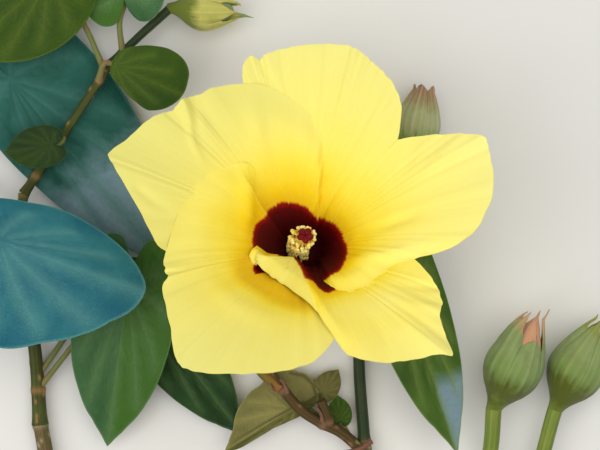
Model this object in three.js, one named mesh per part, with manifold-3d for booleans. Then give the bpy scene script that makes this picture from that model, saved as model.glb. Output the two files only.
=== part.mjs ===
// A cut branch of sea hibiscus that lies on level ground: one open bloom, buds, heart-shaped leaves
// and the stems that carry them. Millimetres, +Z up. +Y runs from the cut foot towards the tips and
// the bloom faces up. The origin is the middle of the branch's box, at ground level.
import * as THREE from 'three'
import { mergeVertices } from 'three/addons/utils/BufferGeometryUtils.js'
import Module from 'manifold-3d'

const wasm = await Module()
wasm.setup()

// Driving dimensions
const SEAT_GAP = 0.3 // clearance between two pieces that touch
const STEM_SIDES = 8
const PETIOLE = { foot: 0.85, tip: 0.7, steps: 5, sides: 6 }

// Bloom: its own axis leans towards +Y, and its shape is told in polar terms round that axis
const BLOOM = {
  base: [1.7, -11.6, 18], // middle of the receptacle, where the petals spring
  lean: 22, // degrees from straight up
  claw: 3.6, // radius of the ring of petal claws
  rise: 40, // height of the common funnel at its reference reach
  reach: 42,
  flare: 0.42, // power of the funnel's profile
  step: 1.5, // one petal lies this far above the next one, measured across the blade
  thick: 0.8,
  floor: 2, // height of the claws above the base
}
const PETAL_SPACING = 72 // degrees
const CLAW_SHARE = 0.5 // part of a petal's spread that its claw keeps
const PETAL_GRID = { along: 7, crowd: 1.8 }

// Rim of each petal, anticlockwise from the margin that lies over its neighbour: [degrees, reach]
const PETALS = {
  petal_top: {
    middle: 80,
    rim: [
      [43, 33], [51, 40], [58, 43.5], [68, 46.4], [80, 48], [92, 48], [103, 47.2], [110, 46], [114, 43.4],
      [116, 38], [124, 28], [134, 17],
    ],
  },
  petal_upper_left: {
    middle: 152,
    rim: [
      [64, 8], [70, 12], [74, 16], [76.5, 20.5], [81, 26], [87, 30], [98, 35], [107, 39], [115, 41],
      [124, 43], [135, 46], [151, 48.6], [163.6, 52.8], [171, 48], [181, 42], [194, 38], [206, 28], [216, 17],
    ],
  },
  petal_lower_left: {
    middle: 224,
    rim: [
      [129, 17], [131, 23], [139, 26], [158, 30.4], [176, 33], [191, 36], [201, 39], [209, 42],
      [218, 45], [227, 49.3], [234, 52.6], [241, 50.5], [251, 46.3], [264, 42], [275, 38], [288, 28],
      [298, 16],
    ],
  },
  petal_lower_right: {
    middle: 296,
    rim: [
      [197, 14], [207, 17.2], [219, 16.6], [251, 16], [268, 20], [277, 24.5], [282, 33], [285, 40],
      [292, 44], [300, 47], [308, 50], [311.5, 54.5], [316, 48], [324, 42.7], [331, 36.5], [342, 27],
      [354, 16],
    ],
  },
  petal_right: {
    middle: 368,
    rim: [
      [288, 14], [294, 18.7], [301, 21.6], [315, 23.7], [332, 24.8], [340, 30.5], [347, 39.4],
      [353, 44], [366, 48.6], [378, 50], [383, 50.8], [388, 46], [393, 41], [403, 33], [414, 26],
      [426, 18], [436, 10],
    ],
  },
}

// Staminal column and stigma: [radius, height above the base] along the bloom's axis
const COLUMN = [
  [0, 2.3], [1.7, 2.3], [1.5, 8], [1.5, 14], [3.3, 16], [3.9, 19], [3.7, 22.5], [2.2, 25], [0.9, 26], [0, 26],
]
const COLUMN_BOW = 1 // the column bows this far to the left at half its height
const STIGMA = [[0, 26.3], [1.4, 26.3], [2.1, 27.2], [1.6, 28.2], [0, 28.5]]

// Calyx cup under the bloom: wall radius by height, and its five teeth
const CALYX = {
  wall: [[-1.5, 3.2], [0.5, 6.4], [6, 7.4], [10, 8.3], [13, 9.6], [18.5, 12.4], [22.5, 16.2]],
  thick: 0.7,
  floor: 1.7,
  notch: 13, // height of the gaps between the teeth
  teeth: 5,
  sides: 20,
}

// Bud: [radius, height] of a full-size one, 30 mm long, with five ribs
const BUD = [
  [0, 0], [2.8, 0], [4.6, 2], [7, 6], [8.6, 10.5], [8.8, 14], [7.6, 18.5], [5.3, 23], [2.2, 28], [0, 30],
]
const BUD_RIB = 0.05 // swelling at each rib, as a share of the radius
const BUD_RIBS = 5
const BUD_SIDES = 15
const BUD_SEAT = 0.9 // from the stem's end to the bud's foot

// Heart-shaped leaf: share of its length at each angle from the tip, the same on both halves
const LEAF_OUTLINE = [
  [0, 1], [12, 0.9], [35, 0.77], [60, 0.67], [85, 0.59], [110, 0.53], [135, 0.47], [155, 0.37],
  [170, 0.2], [180, 0.05],
]
const LEAF_THICK = 0.6
const LEAF_GRID = { round: 20, out: 3 }

// Stems, each a tapering limb: route in mm, radius at its foot and at its tip
const STEMS = {
  stem_main: {
    route: [
      [-26, -142, 4.4], [-11, -125, 4.1], [5, -109, 3.7], [15, -94, 3.1], [19.6, -79, 2.6],
      [18.7, -62.5, 2.2],
    ],
    foot: 4.3, tip: 1.9, steps: 10,
  },
  stem_upper: {
    route: [[18.7, -62.5, 2.2], [17.2, -37, 2.4], [19.2, -10, 3.2], [26.4, 8, 4.6], [32.2, 18.4, 6]],
    foot: 1.8, tip: 1.5, steps: 10, from: ['stem_main'],
  },
  twig_flower: {
    route: [[18.9, -66.5, 2.3], [11.8, -60.1, 4.8], [5.9, -57, 7], [0, -53, 8.2], [-5.4, -46.8, 8.2]],
    foot: 1.6, tip: 1.5, steps: 8, from: ['stem_main'],
  },
  twig_left_lower: {
    route: [[-11.5, -125.6, 4.1], [-36, -114.5, 3.2], [-58, -99.5, 2.9], [-70.6, -80, 2.7], [-75.6, -58, 3]],
    foot: 3, tip: 2.1, steps: 10, from: ['stem_main'],
  },
  twig_left_middle: {
    route: [[-75.6, -58, 3], [-76.8, -38, 3.8], [-79.6, -18, 5], [-81.4, -2, 6.5], [-79.6, 9, 7.4]],
    foot: 2.1, tip: 1.4, steps: 9, from: ['twig_left_lower'],
  },
  twig_left_upper: {
    route: [[-79.6, 9, 7.4], [-67.6, 26.6, 8.6], [-60.4, 37.4, 9], [-54.8, 46, 9]],
    foot: 1.3, tip: 1.15, steps: 7, from: ['twig_left_middle'],
  },
  twig_left_tip: {
    route: [[-54.8, 46, 9], [-46.2, 54.4, 8.2], [-37.4, 62.6, 7.2]],
    foot: 1.1, tip: 1.3, steps: 5, from: ['twig_left_upper'],
  },
  twig_buds: {
    route: [[15.2, -93.6, 3.1], [28, -94.6, 3], [41, -91.4, 3.4]],
    foot: 2.4, tip: 2.1, steps: 6, from: ['stem_main'],
  },
  stalk_bud_lower: {
    route: [[41, -91.4, 3.4], [51.6, -80.6, 5.2], [54.8, -65.4, 7.6], [55.6, -52.6, 9.6]],
    foot: 2.1, tip: 2.3, steps: 8, from: ['twig_buds'],
  },
  stalk_bud_outer: {
    route: [[37.5, -92.6, 3.3], [55, -91.5, 3.6], [67, -75, 5.4], [73.4, -53, 8.4]],
    foot: 1.9, tip: 2.2, steps: 9, from: ['twig_buds', 'stalk_bud_lower'],
  },
  stub: {
    route: [[9, -58.6, 5.9], [7.8, -54.6, 8.8], [6, -50.4, 9.8]],
    foot: 1, tip: 1.4, steps: 3, from: ['twig_flower'],
  },
}
const PEDICEL = {
  route: [[-5.4, -46.8, 8.2], [-11.4, -41.6, 8], [-13.6, -34, 7.2], [-9.4, -24.6, 6.6], [-2.6, -17, 8]],
  foot: 1.6, tip: 1.9, steps: 9,
}

// Buds: the stem that ends in each, compass heading in plan (0 along +X), pitch upwards and size
const BUDS = {
  bud_lower: { stem: 'stalk_bud_lower', heading: 66, pitch: 10, size: 0.97 },
  bud_outer: { stem: 'stalk_bud_outer', heading: 62, pitch: 4, size: 0.95 },
  bud_back: { stem: 'stem_upper', heading: 80, pitch: 6, size: 0.76 },
  bud_left: { stem: 'twig_left_tip', heading: -3, pitch: 4, size: 0.7 },
}

// Leaves: blade foot, heading of the midrib, pitch, roll, length, breadth and upward fold of the left
// and of the right half, droop, and the places on a stem where the leaf stalk starts and bends
const LEAVES = {
  leaf_left: {
    foot: [-83, -4.4, 27], heading: -19, pitch: 6, roll: 0,
    length: 43, breadth: [0.45, 1.05], fold: [-14, -6], droop: 0.1,
    stem: 'twig_left_middle', from: [-77.4, -31, 4.2], via: [-88, -18, 14],
  },
  leaf_upper: {
    foot: [-84, 42, 5.4], heading: -50, pitch: -1, roll: 0,
    length: 70, breadth: [0.56, 0.36], fold: [-2, 4], droop: 0,
    stem: 'twig_left_middle', from: [-81.3, -1, 6.6], via: [-95, 20, 1.4],
  },
  leaf_olive: {
    foot: [-52.3, 45.2, 14], heading: -24, pitch: 3, roll: 6,
    length: 21, breadth: [0.78, 0.82], fold: [5, 5], droop: 0.1,
    stem: 'twig_left_upper', from: [-58, 41, 9.1], via: [-56, 46, 12],
  },
  leaf_inner: {
    foot: [-71.5, 22.6, 13], heading: -171, pitch: 3, roll: 0,
    length: 13, breadth: [0.8, 0.8], fold: [8, 8], droop: 0.1,
    stem: 'twig_left_upper', from: [-68.6, 25.2, 8.5], via: [-68.2, 24.4, 9.9],
  },
  leaf_lower: {
    foot: [-49, -19, 13], heading: -99, pitch: -6, roll: 6,
    length: 46, breadth: [0.54, 0.54], fold: [5, 5], droop: 0.06,
    stem: 'twig_left_middle', from: [-76.2, -48, 3.5], via: [-60, -28, 8],
  },
  leaf_below: {
    foot: [-44, -25, 5.4], heading: -53, pitch: -2, roll: -4,
    length: 45, breadth: [0.42, 0.42], fold: [6, 6], droop: 0.02,
    stem: 'twig_left_middle', from: [-76.4, -44, 3.6], via: [-60, -24, 2],
  },
  leaf_corner: {
    foot: [-72, 69, 15], heading: -140, pitch: 3, roll: 0,
    length: 32, breadth: [0.9, 0.9], fold: [5, 5], droop: 0.1,
    stem: 'twig_left_upper', from: [-56, 44, 9.1], via: [-62, 58, 12],
  },
  leaf_tip: {
    foot: [-50.5, 67, 13], heading: 98, pitch: 3, roll: 0,
    length: 28, breadth: [0.8, 0.8], fold: [5, 5], droop: 0.1,
    stem: 'twig_left_tip', from: [-51, 49.4, 8.6], via: [-51.6, 58, 11],
  },
  leaf_folded: {
    foot: [-2.4, -53.6, 4.6], heading: -149, pitch: 5, roll: 0,
    length: 22.5, breadth: [0.25, 0.85], fold: [8, 3], droop: 0,
    stem: 'twig_flower', from: [9.2, -58.6, 5.8], via: [6.2, -56.6, 1.8],
  },
  leaf_young_upper: {
    foot: [6.9, -48.3, 3.2], heading: 56, pitch: 6, roll: 0,
    length: 7.6, breadth: [0.85, 0.85], fold: [6, 6], droop: 0.1,
    stem: 'twig_flower', from: [7.2, -57.6, 6.6], via: [6.2, -53.8, 3],
  },
  leaf_young_lower: {
    foot: [11.6, -56.2, 3.7], heading: 96, pitch: 4, roll: 0,
    length: 6.8, breadth: [0.9, 0.9], fold: [4, 4], droop: 0.1,
    stem: 'twig_flower', from: [14.4, -62.2, 4], via: [13.2, -59.6, 2.6],
  },
  leaf_right: {
    foot: [26.5, -10.5, 13], heading: -71, pitch: -1, roll: -8,
    length: 58, breadth: [0.33, 0.33], fold: [8, 8], droop: 0.04,
    stem: 'stem_upper', from: [17.8, -20, 2.9], via: [21, -8, 8],
  },
}

const COLOURS = {
  bark: 0x8a7a55, green_stem: 0x708a3c, petal: 0xf2e24a, calyx: 0x8c9a5e, bud: 0x8f9c66,
  anther: 0xead26a, stigma: 0x5a0a24, leaf: 0x3f6b3a, young_leaf: 0x9a8a4c,
}

const radians = THREE.MathUtils.degToRad
const vector = ([x, y, z]) => new THREE.Vector3(x, y, z)
const group = new THREE.Group()

function addPiece(name, geometry, colour, roughness) {
  const material = new THREE.MeshStandardMaterial({ color: colour, roughness, metalness: 0 })
  geometry.computeVertexNormals()
  const mesh = new THREE.Mesh(geometry, material)
  mesh.name = name
  group.add(mesh)
}

// Moves every vertex of a geometry by a function of its old place
function reshape(geometry, place) {
  const position = geometry.attributes.position
  const old = new THREE.Vector3()
  for (let i = 0; i < position.count; i++) {
    old.fromBufferAttribute(position, i)
    const moved = place(old)
    position.setXYZ(i, moved.x, moved.y, moved.z)
  }
  geometry.deleteAttribute('normal')
  geometry.deleteAttribute('uv')
  return mergeVertices(geometry, 1e-4)
}

// Value of a list of [key, value] pairs, sorted by key, between whose keys it runs straight
function interpolate(pairs, key) {
  const last = pairs.length - 1
  if (key <= pairs[0][0]) return pairs[0][1]
  if (key >= pairs[last][0]) return pairs[last][1]
  const i = pairs.findIndex(([k]) => k > key)
  const [k0, v0] = pairs[i - 1]
  const [k1, v1] = pairs[i]
  return v0 + ((v1 - v0) * (key - k0)) / (k1 - k0)
}

// Tapering limb along a smooth route: an upright cylinder bent to follow it, grown all round by extra
function limb({ route, foot, tip, steps }, sides, extra = 0) {
  const curve = new THREE.CatmullRomCurve3(route.map(vector))
  const frames = curve.computeFrenetFrames(steps, false)
  const cylinder = new THREE.CylinderGeometry(tip + extra, foot + extra, 1, sides, steps)
  return reshape(cylinder, (p) => {
    const along = p.y + 0.5
    const ring = Math.round(along * steps)
    const beyond = ring === 0 ? -extra : ring === steps ? extra : 0
    return curve
      .getPointAt(along)
      .addScaledVector(frames.tangents[ring], beyond)
      .addScaledVector(frames.binormals[ring], p.x)
      .addScaledVector(frames.normals[ring], p.z)
  })
}

function toSolid(geometry) {
  const vertProperties = Float32Array.from(geometry.attributes.position.array)
  const triVerts = Uint32Array.from(geometry.index.array)
  return new wasm.Manifold(new wasm.Mesh({ numProp: 3, vertProperties, triVerts }))
}

function toGeometry(solid) {
  const mesh = solid.getMesh()
  const geometry = new THREE.BufferGeometry()
  geometry.setAttribute('position', new THREE.BufferAttribute(mesh.vertProperties, 3))
  geometry.setIndex(new THREE.BufferAttribute(mesh.triVerts, 1))
  return geometry
}

// Cuts a side limb's foot to a saddle that clears the stems it springs from
function saddle(geometry, carriers) {
  let solid = toSolid(geometry)
  for (const name of carriers) {
    solid = solid.subtract(toSolid(limb(STEMS[name], STEM_SIDES, SEAT_GAP)))
  }
  return toGeometry(solid)
}

// Unit directions along and across a heading, tilted by pitch and roll
function directions(heading, pitch, roll = 0) {
  const turn = new THREE.Matrix4()
    .makeRotationZ(radians(heading))
    .multiply(new THREE.Matrix4().makeRotationY(-radians(pitch)))
    .multiply(new THREE.Matrix4().makeRotationX(radians(roll)))
  const along = new THREE.Vector3()
  const across = new THREE.Vector3()
  const up = new THREE.Vector3()
  turn.extractBasis(along, across, up)
  return { along, across, up }
}

// Place in the bloom: angle and reach round its axis, height along it
function bloomPoint(angle, reach, height) {
  const side = reach * Math.cos(angle)
  const slope = reach * Math.sin(angle)
  const s = Math.sin(radians(BLOOM.lean))
  const c = Math.cos(radians(BLOOM.lean))
  return vector(BLOOM.base).add(new THREE.Vector3(side, slope * c + height * s, height * c - slope * s))
}

// Place on a petal: its own share of the funnel that all petals follow, lifted across the blade so
// that each petal lies over the one before it and under the one after it
function petalPoint(degrees, reach, middle, offset) {
  const beyond = Math.max(reach - BLOOM.claw, 1e-3)
  const height = BLOOM.floor + BLOOM.rise * (beyond / BLOOM.reach) ** BLOOM.flare
  const slope = ((height - BLOOM.floor) * BLOOM.flare) / beyond
  const lift = (BLOOM.step * (middle - degrees)) / PETAL_SPACING + offset
  const across = lift / Math.hypot(1, slope)
  return bloomPoint(radians(degrees), reach - slope * across, height + across)
}

function petal({ middle, rim }) {
  const { along, crowd } = PETAL_GRID
  const angles = rim.map(([angle], i) => [i / (rim.length - 1), angle])
  const reaches = rim.map(([, reach], i) => [i / (rim.length - 1), reach])
  const block = new THREE.BoxGeometry(1, 1, 1, rim.length - 1, along, 1)
  return reshape(block, (p) => {
    const t = p.x + 0.5
    const s = p.y + 0.5
    const share = CLAW_SHARE + (1 - CLAW_SHARE) * Math.sin((s * Math.PI) / 2)
    const degrees = middle + (interpolate(angles, t) - middle) * share
    const reach = BLOOM.claw + (interpolate(reaches, t) - BLOOM.claw) * s ** crowd
    return petalPoint(degrees, reach, middle, -p.z * BLOOM.thick)
  })
}

// Round piece on the bloom's axis, bowed a little to the left
function turned(profile, sides) {
  const lathe = new THREE.LatheGeometry(profile.map(([r, h]) => new THREE.Vector2(r, h)), sides)
  return reshape(lathe, (p) => {
    const place = bloomPoint(Math.atan2(-p.z, p.x), Math.hypot(p.x, p.z), p.y)
    place.x -= COLUMN_BOW * Math.sin((Math.PI * p.y) / STIGMA.at(-1)[1])
    return place
  })
}

// Open cup with five teeth: outer wall up to the rim, inner wall back down to the floor
function calyx() {
  const { wall, thick, floor, notch, teeth, sides } = CALYX
  const outer = wall.map(([h, r]) => [r, h])
  const inner = wall.filter(([h]) => h > floor).map(([h, r]) => [r - thick, h]).reverse()
  const foot = interpolate(wall, floor) - thick
  const profile = [[0, wall[0][0]], ...outer, ...inner, [foot, floor], [0, floor]]
  const lathe = new THREE.LatheGeometry(profile.map(([r, h]) => new THREE.Vector2(r, h)), sides)
  return reshape(lathe, (p) => {
    const angle = Math.atan2(-p.z, p.x)
    const radius = Math.hypot(p.x, p.z)
    const inside = radius < interpolate(wall, p.y) - thick / 2 ? thick : 0
    if (p.y <= notch) return bloomPoint(angle, radius, p.y)
    const height = notch + (p.y - notch) * Math.abs(Math.cos((teeth * angle) / 2))
    return bloomPoint(angle, interpolate(wall, height) - inside, height)
  })
}

// Ribbed bud on the end of its stem
function bud({ stem, heading, pitch, size }) {
  const { along, across, up } = directions(heading, pitch)
  const foot = vector(STEMS[stem].route.at(-1)).addScaledVector(along, BUD_SEAT)
  const lathe = new THREE.LatheGeometry(BUD.map(([r, h]) => new THREE.Vector2(r, h)), BUD_SIDES)
  return reshape(lathe, (p) => {
    const angle = Math.atan2(-p.z, p.x)
    const radius = Math.hypot(p.x, p.z) * size * (1 + BUD_RIB * Math.cos(BUD_RIBS * angle))
    return foot
      .clone()
      .addScaledVector(along, p.y * size)
      .addScaledVector(across, radius * Math.cos(angle))
      .addScaledVector(up, radius * Math.sin(angle))
  })
}

// Place on a leaf blade, told by its angle from the tip and its share of the way out to the margin
function leafPoint(leaf, angle, share, offset) {
  const { along, across, up } = directions(leaf.heading, leaf.pitch, leaf.roll)
  const outline = interpolate(LEAF_OUTLINE, THREE.MathUtils.radToDeg(Math.abs(angle)))
  const reach = share * outline * leaf.length
  const ahead = reach * Math.cos(angle)
  const aside = reach * Math.sin(angle) * leaf.breadth[angle > 0 ? 0 : 1]
  const fold = radians(aside > 0 ? leaf.fold[0] : leaf.fold[1])
  const height = Math.sin(fold) * Math.abs(aside) - (leaf.droop * ahead * ahead) / leaf.length + offset
  return vector(leaf.foot)
    .addScaledVector(along, ahead)
    .addScaledVector(across, aside * Math.cos(fold))
    .addScaledVector(up, height)
}

// Leaf blade: a ball pressed flat, with its poles over the foot and its equator at the margin
function blade(leaf) {
  const ball = new THREE.SphereGeometry(1, LEAF_GRID.round, LEAF_GRID.out * 2)
  return reshape(ball, (p) => {
    const angle = Math.atan2(-p.z, p.x)
    const share = 1 - Math.acos(Math.min(1, Math.hypot(p.x, p.z))) / (Math.PI / 2)
    const bulge = Math.abs(p.y) < 1e-6 ? 0 : Math.sign(p.y) * (1 - share ** 3)
    return leafPoint(leaf, angle, share, (bulge * LEAF_THICK) / 2)
  })
}

// Leaf stalk from a stem to the underside of the blade at its foot, which it meets from behind
function petiole(leaf) {
  const { along, up } = directions(leaf.heading, leaf.pitch)
  const end = vector(leaf.foot).addScaledVector(up, -(LEAF_THICK / 2 + PETIOLE.tip + SEAT_GAP))
  const lead = Math.min(3, leaf.length / 6)
  const before = end.clone().addScaledVector(along, -lead).addScaledVector(up, -0.53 * lead)
  const route = [leaf.from, leaf.via, before.toArray(), end.toArray()]
  return limb({ ...PETIOLE, route }, PETIOLE.sides)
}

for (const [name, stem] of Object.entries(STEMS)) {
  const shape = limb(stem, STEM_SIDES)
  const colour = name.startsWith('stalk') ? COLOURS.green_stem : COLOURS.bark
  addPiece(name, stem.from ? saddle(shape, stem.from) : shape, colour, 0.8)
}

const pedicelEnd = CALYX.wall[0][0] - SEAT_GAP
const lastStretch = [pedicelEnd - 4, pedicelEnd].map((height) => bloomPoint(0, 0, height).toArray())
const pedicel = limb({ ...PEDICEL, route: [...PEDICEL.route, ...lastStretch] }, STEM_SIDES)
addPiece('pedicel_flower', saddle(pedicel, ['twig_flower']), COLOURS.green_stem, 0.7)
addPiece('calyx_flower', calyx(), COLOURS.calyx, 0.7)
for (const [name, shape] of Object.entries(PETALS)) {
  addPiece(name, petal(shape), COLOURS.petal, 0.6)
}
addPiece('staminal_column', turned(COLUMN, 12), COLOURS.anther, 0.8)
addPiece('stigma', turned(STIGMA, 10), COLOURS.stigma, 0.6)

for (const [name, shape] of Object.entries(BUDS)) {
  addPiece(name, bud(shape), COLOURS.bud, 0.8)
}

for (const [name, leaf] of Object.entries(LEAVES)) {
  const young = name.startsWith('leaf_young') || name === 'leaf_folded'
  addPiece(name, blade(leaf), young ? COLOURS.young_leaf : COLOURS.leaf, 0.5)
  addPiece(name.replace('leaf', 'petiole'), saddle(petiole(leaf), [leaf.stem]), COLOURS.green_stem, 0.7)
}

const box = new THREE.Box3().setFromObject(group)
const middle = box.getCenter(new THREE.Vector3())
group.position.set(-middle.x, -middle.y, -box.min.z)

export default group
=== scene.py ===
"""Cut branch of sea hibiscus lying on a pale floor: one open bloom, closed buds, leaves and stems."""

import math

import bpy
import numpy as np
from mathutils import Matrix, Vector


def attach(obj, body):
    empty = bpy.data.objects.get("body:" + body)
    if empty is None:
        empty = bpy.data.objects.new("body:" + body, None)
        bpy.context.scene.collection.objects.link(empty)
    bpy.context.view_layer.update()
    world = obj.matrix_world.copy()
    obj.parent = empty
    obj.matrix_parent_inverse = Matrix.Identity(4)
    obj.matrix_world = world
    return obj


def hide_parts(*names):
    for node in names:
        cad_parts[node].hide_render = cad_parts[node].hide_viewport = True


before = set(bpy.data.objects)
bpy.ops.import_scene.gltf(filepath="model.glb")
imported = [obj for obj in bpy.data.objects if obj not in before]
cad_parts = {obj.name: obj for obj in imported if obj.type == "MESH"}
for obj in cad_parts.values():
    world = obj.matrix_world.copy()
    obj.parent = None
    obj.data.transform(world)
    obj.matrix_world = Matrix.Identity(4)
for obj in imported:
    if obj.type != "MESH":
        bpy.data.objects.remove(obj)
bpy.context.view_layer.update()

# Measures, in millimetres and degrees, as the branch was laid out before it was moved to its frame
SHIFT = np.array([8.15858, 25.00515, -0.10038])
MM = 0.001
SHARP_EDGE = math.radians(60)
MERGED = 0.002

# Foot of the bloom and its lean towards the tips, and the funnel that its petals share: radius of the
# claws, rise, reach and flare, how far overlapping petals are apart, and the height of the claws
BLOOM = {
    "base": np.array([1.7, -11.6, 18.0]), "lean": 22, "claw": 3.6, "rise": 40, "reach": 42, "flare": 0.42,
    "step": 1.5, "floor": 2,
}
PETAL_GRID = (180, 84)
PETAL_START = 80
PETAL_SPACING = 72
PETAL_CROWD = 1.8
PETAL_WALL = 0.2
CLAW_SHARE = 0.5
LAP_DIP = 1.5
RIM_RAGGED = 0.15
BLADE_WAVES = 0.1
RIM_WAVES = 0.4
RIM_CURL = 0.5
EAR_BREADTH = 8.5
EAR_PALE = 0.7
# Reach over which the painted shade on the outer parts of the upper left petals comes in
SHADE_FROM, SHADE_TO = 14, 40
LINING = {"inner": 1.2, "outer": 5.0, "foot": 8.6, "rise": 3.4}

# Outline of the column as [radius, height], and how far it bows aside and nods at its top
COLUMN = [[0, 2.3], [1.9, 2.6], [1.6, 8], [1.5, 14], [1.9, 17], [2.1, 20], [1.9, 23], [1.3, 25.4], [0, 26]]
COLUMN_BOW = 2.1
COLUMN_NOD = 1.5
ANTHERS = {"count": 100, "lowest": 11.8, "rise": 13.4, "reach": 1.3, "turn": 137.5, "wide_side": 240}
STIGMA = {"foot": 27.3, "top": 28.5, "lobes": 5, "scale": 1.25, "turn": 20}
STYLE = {"foot": 24.8, "length": 2.6, "bulge": 0.62, "core": 0.1}

# Walls of the calyx and of a bud as [height, radius], and the cups' rims
CALYX_WALL = [[-1.5, 3.2], [0.5, 6.4], [6, 7.4], [10, 8.3], [13, 9.6], [18.5, 12.4], [22.5, 16.2]]
CALYX = {"foot": -1.5, "notch": 13, "tip": 22.4, "teeth": 5, "sharp": 0.8, "wall": 0.55}
OUTER_CUP = {"foot": -1.9, "notch": 4.5, "tip": 10, "teeth": 9, "sharp": 0.7, "wall": 0.5}
CALYX_FLOOR = {"reach": 3.4, "height": -1.5, "sag": 0.25, "wall": 0.5}

BUD_WALL = [
    [-2.6, 1.8], [-1.6, 2.15], [-0.6, 2.42], [1, 2.95], [3.2, 4.4], [6, 6.5], [9, 8], [12, 8.6], [15, 8.4],
    [18.5, 7.3], [22, 5.7], [26, 3.6], [30, 1.3],
]
BUD_SEAT = 0.9
BUD_START = -2.6
BUD_TEETH = 5
BUD_THICKNESS = 0.42
# Painted shade spots in a ring at the seams: how many, their turn and height
BUD_PIT_SHADE = {"count": 10, "turn": 0.4, "height": 9.2}
CORE_FOOT = 4
CORE_TWIST = 2.2

LEAF_WALL = 0.34
SMALL_LEAF_WALL = 0.22
SMALL_LEAF = 15
LEAF_GRID = (150, 36)
SMALL_LEAF_GRID = (96, 20)
LEAF_MAP = 50
WAVE_LOST_PER_DEGREE = 0.6 / 62

LIMB_STEP = 0.55
FLARE_RUN = 2.2
SPOT_BREADTH = 0.42
STALK_DROP = 0.75
CUT_RADIUS = 3.9

DAYLIGHT = 0.39
CAMERA_HEIGHT = 488.0
CAMERA_LENS = 100
CAMERA_SENSOR = 36
FLOOR_SIZE = 4000
FLOOR_DROP = 0.4
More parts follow.
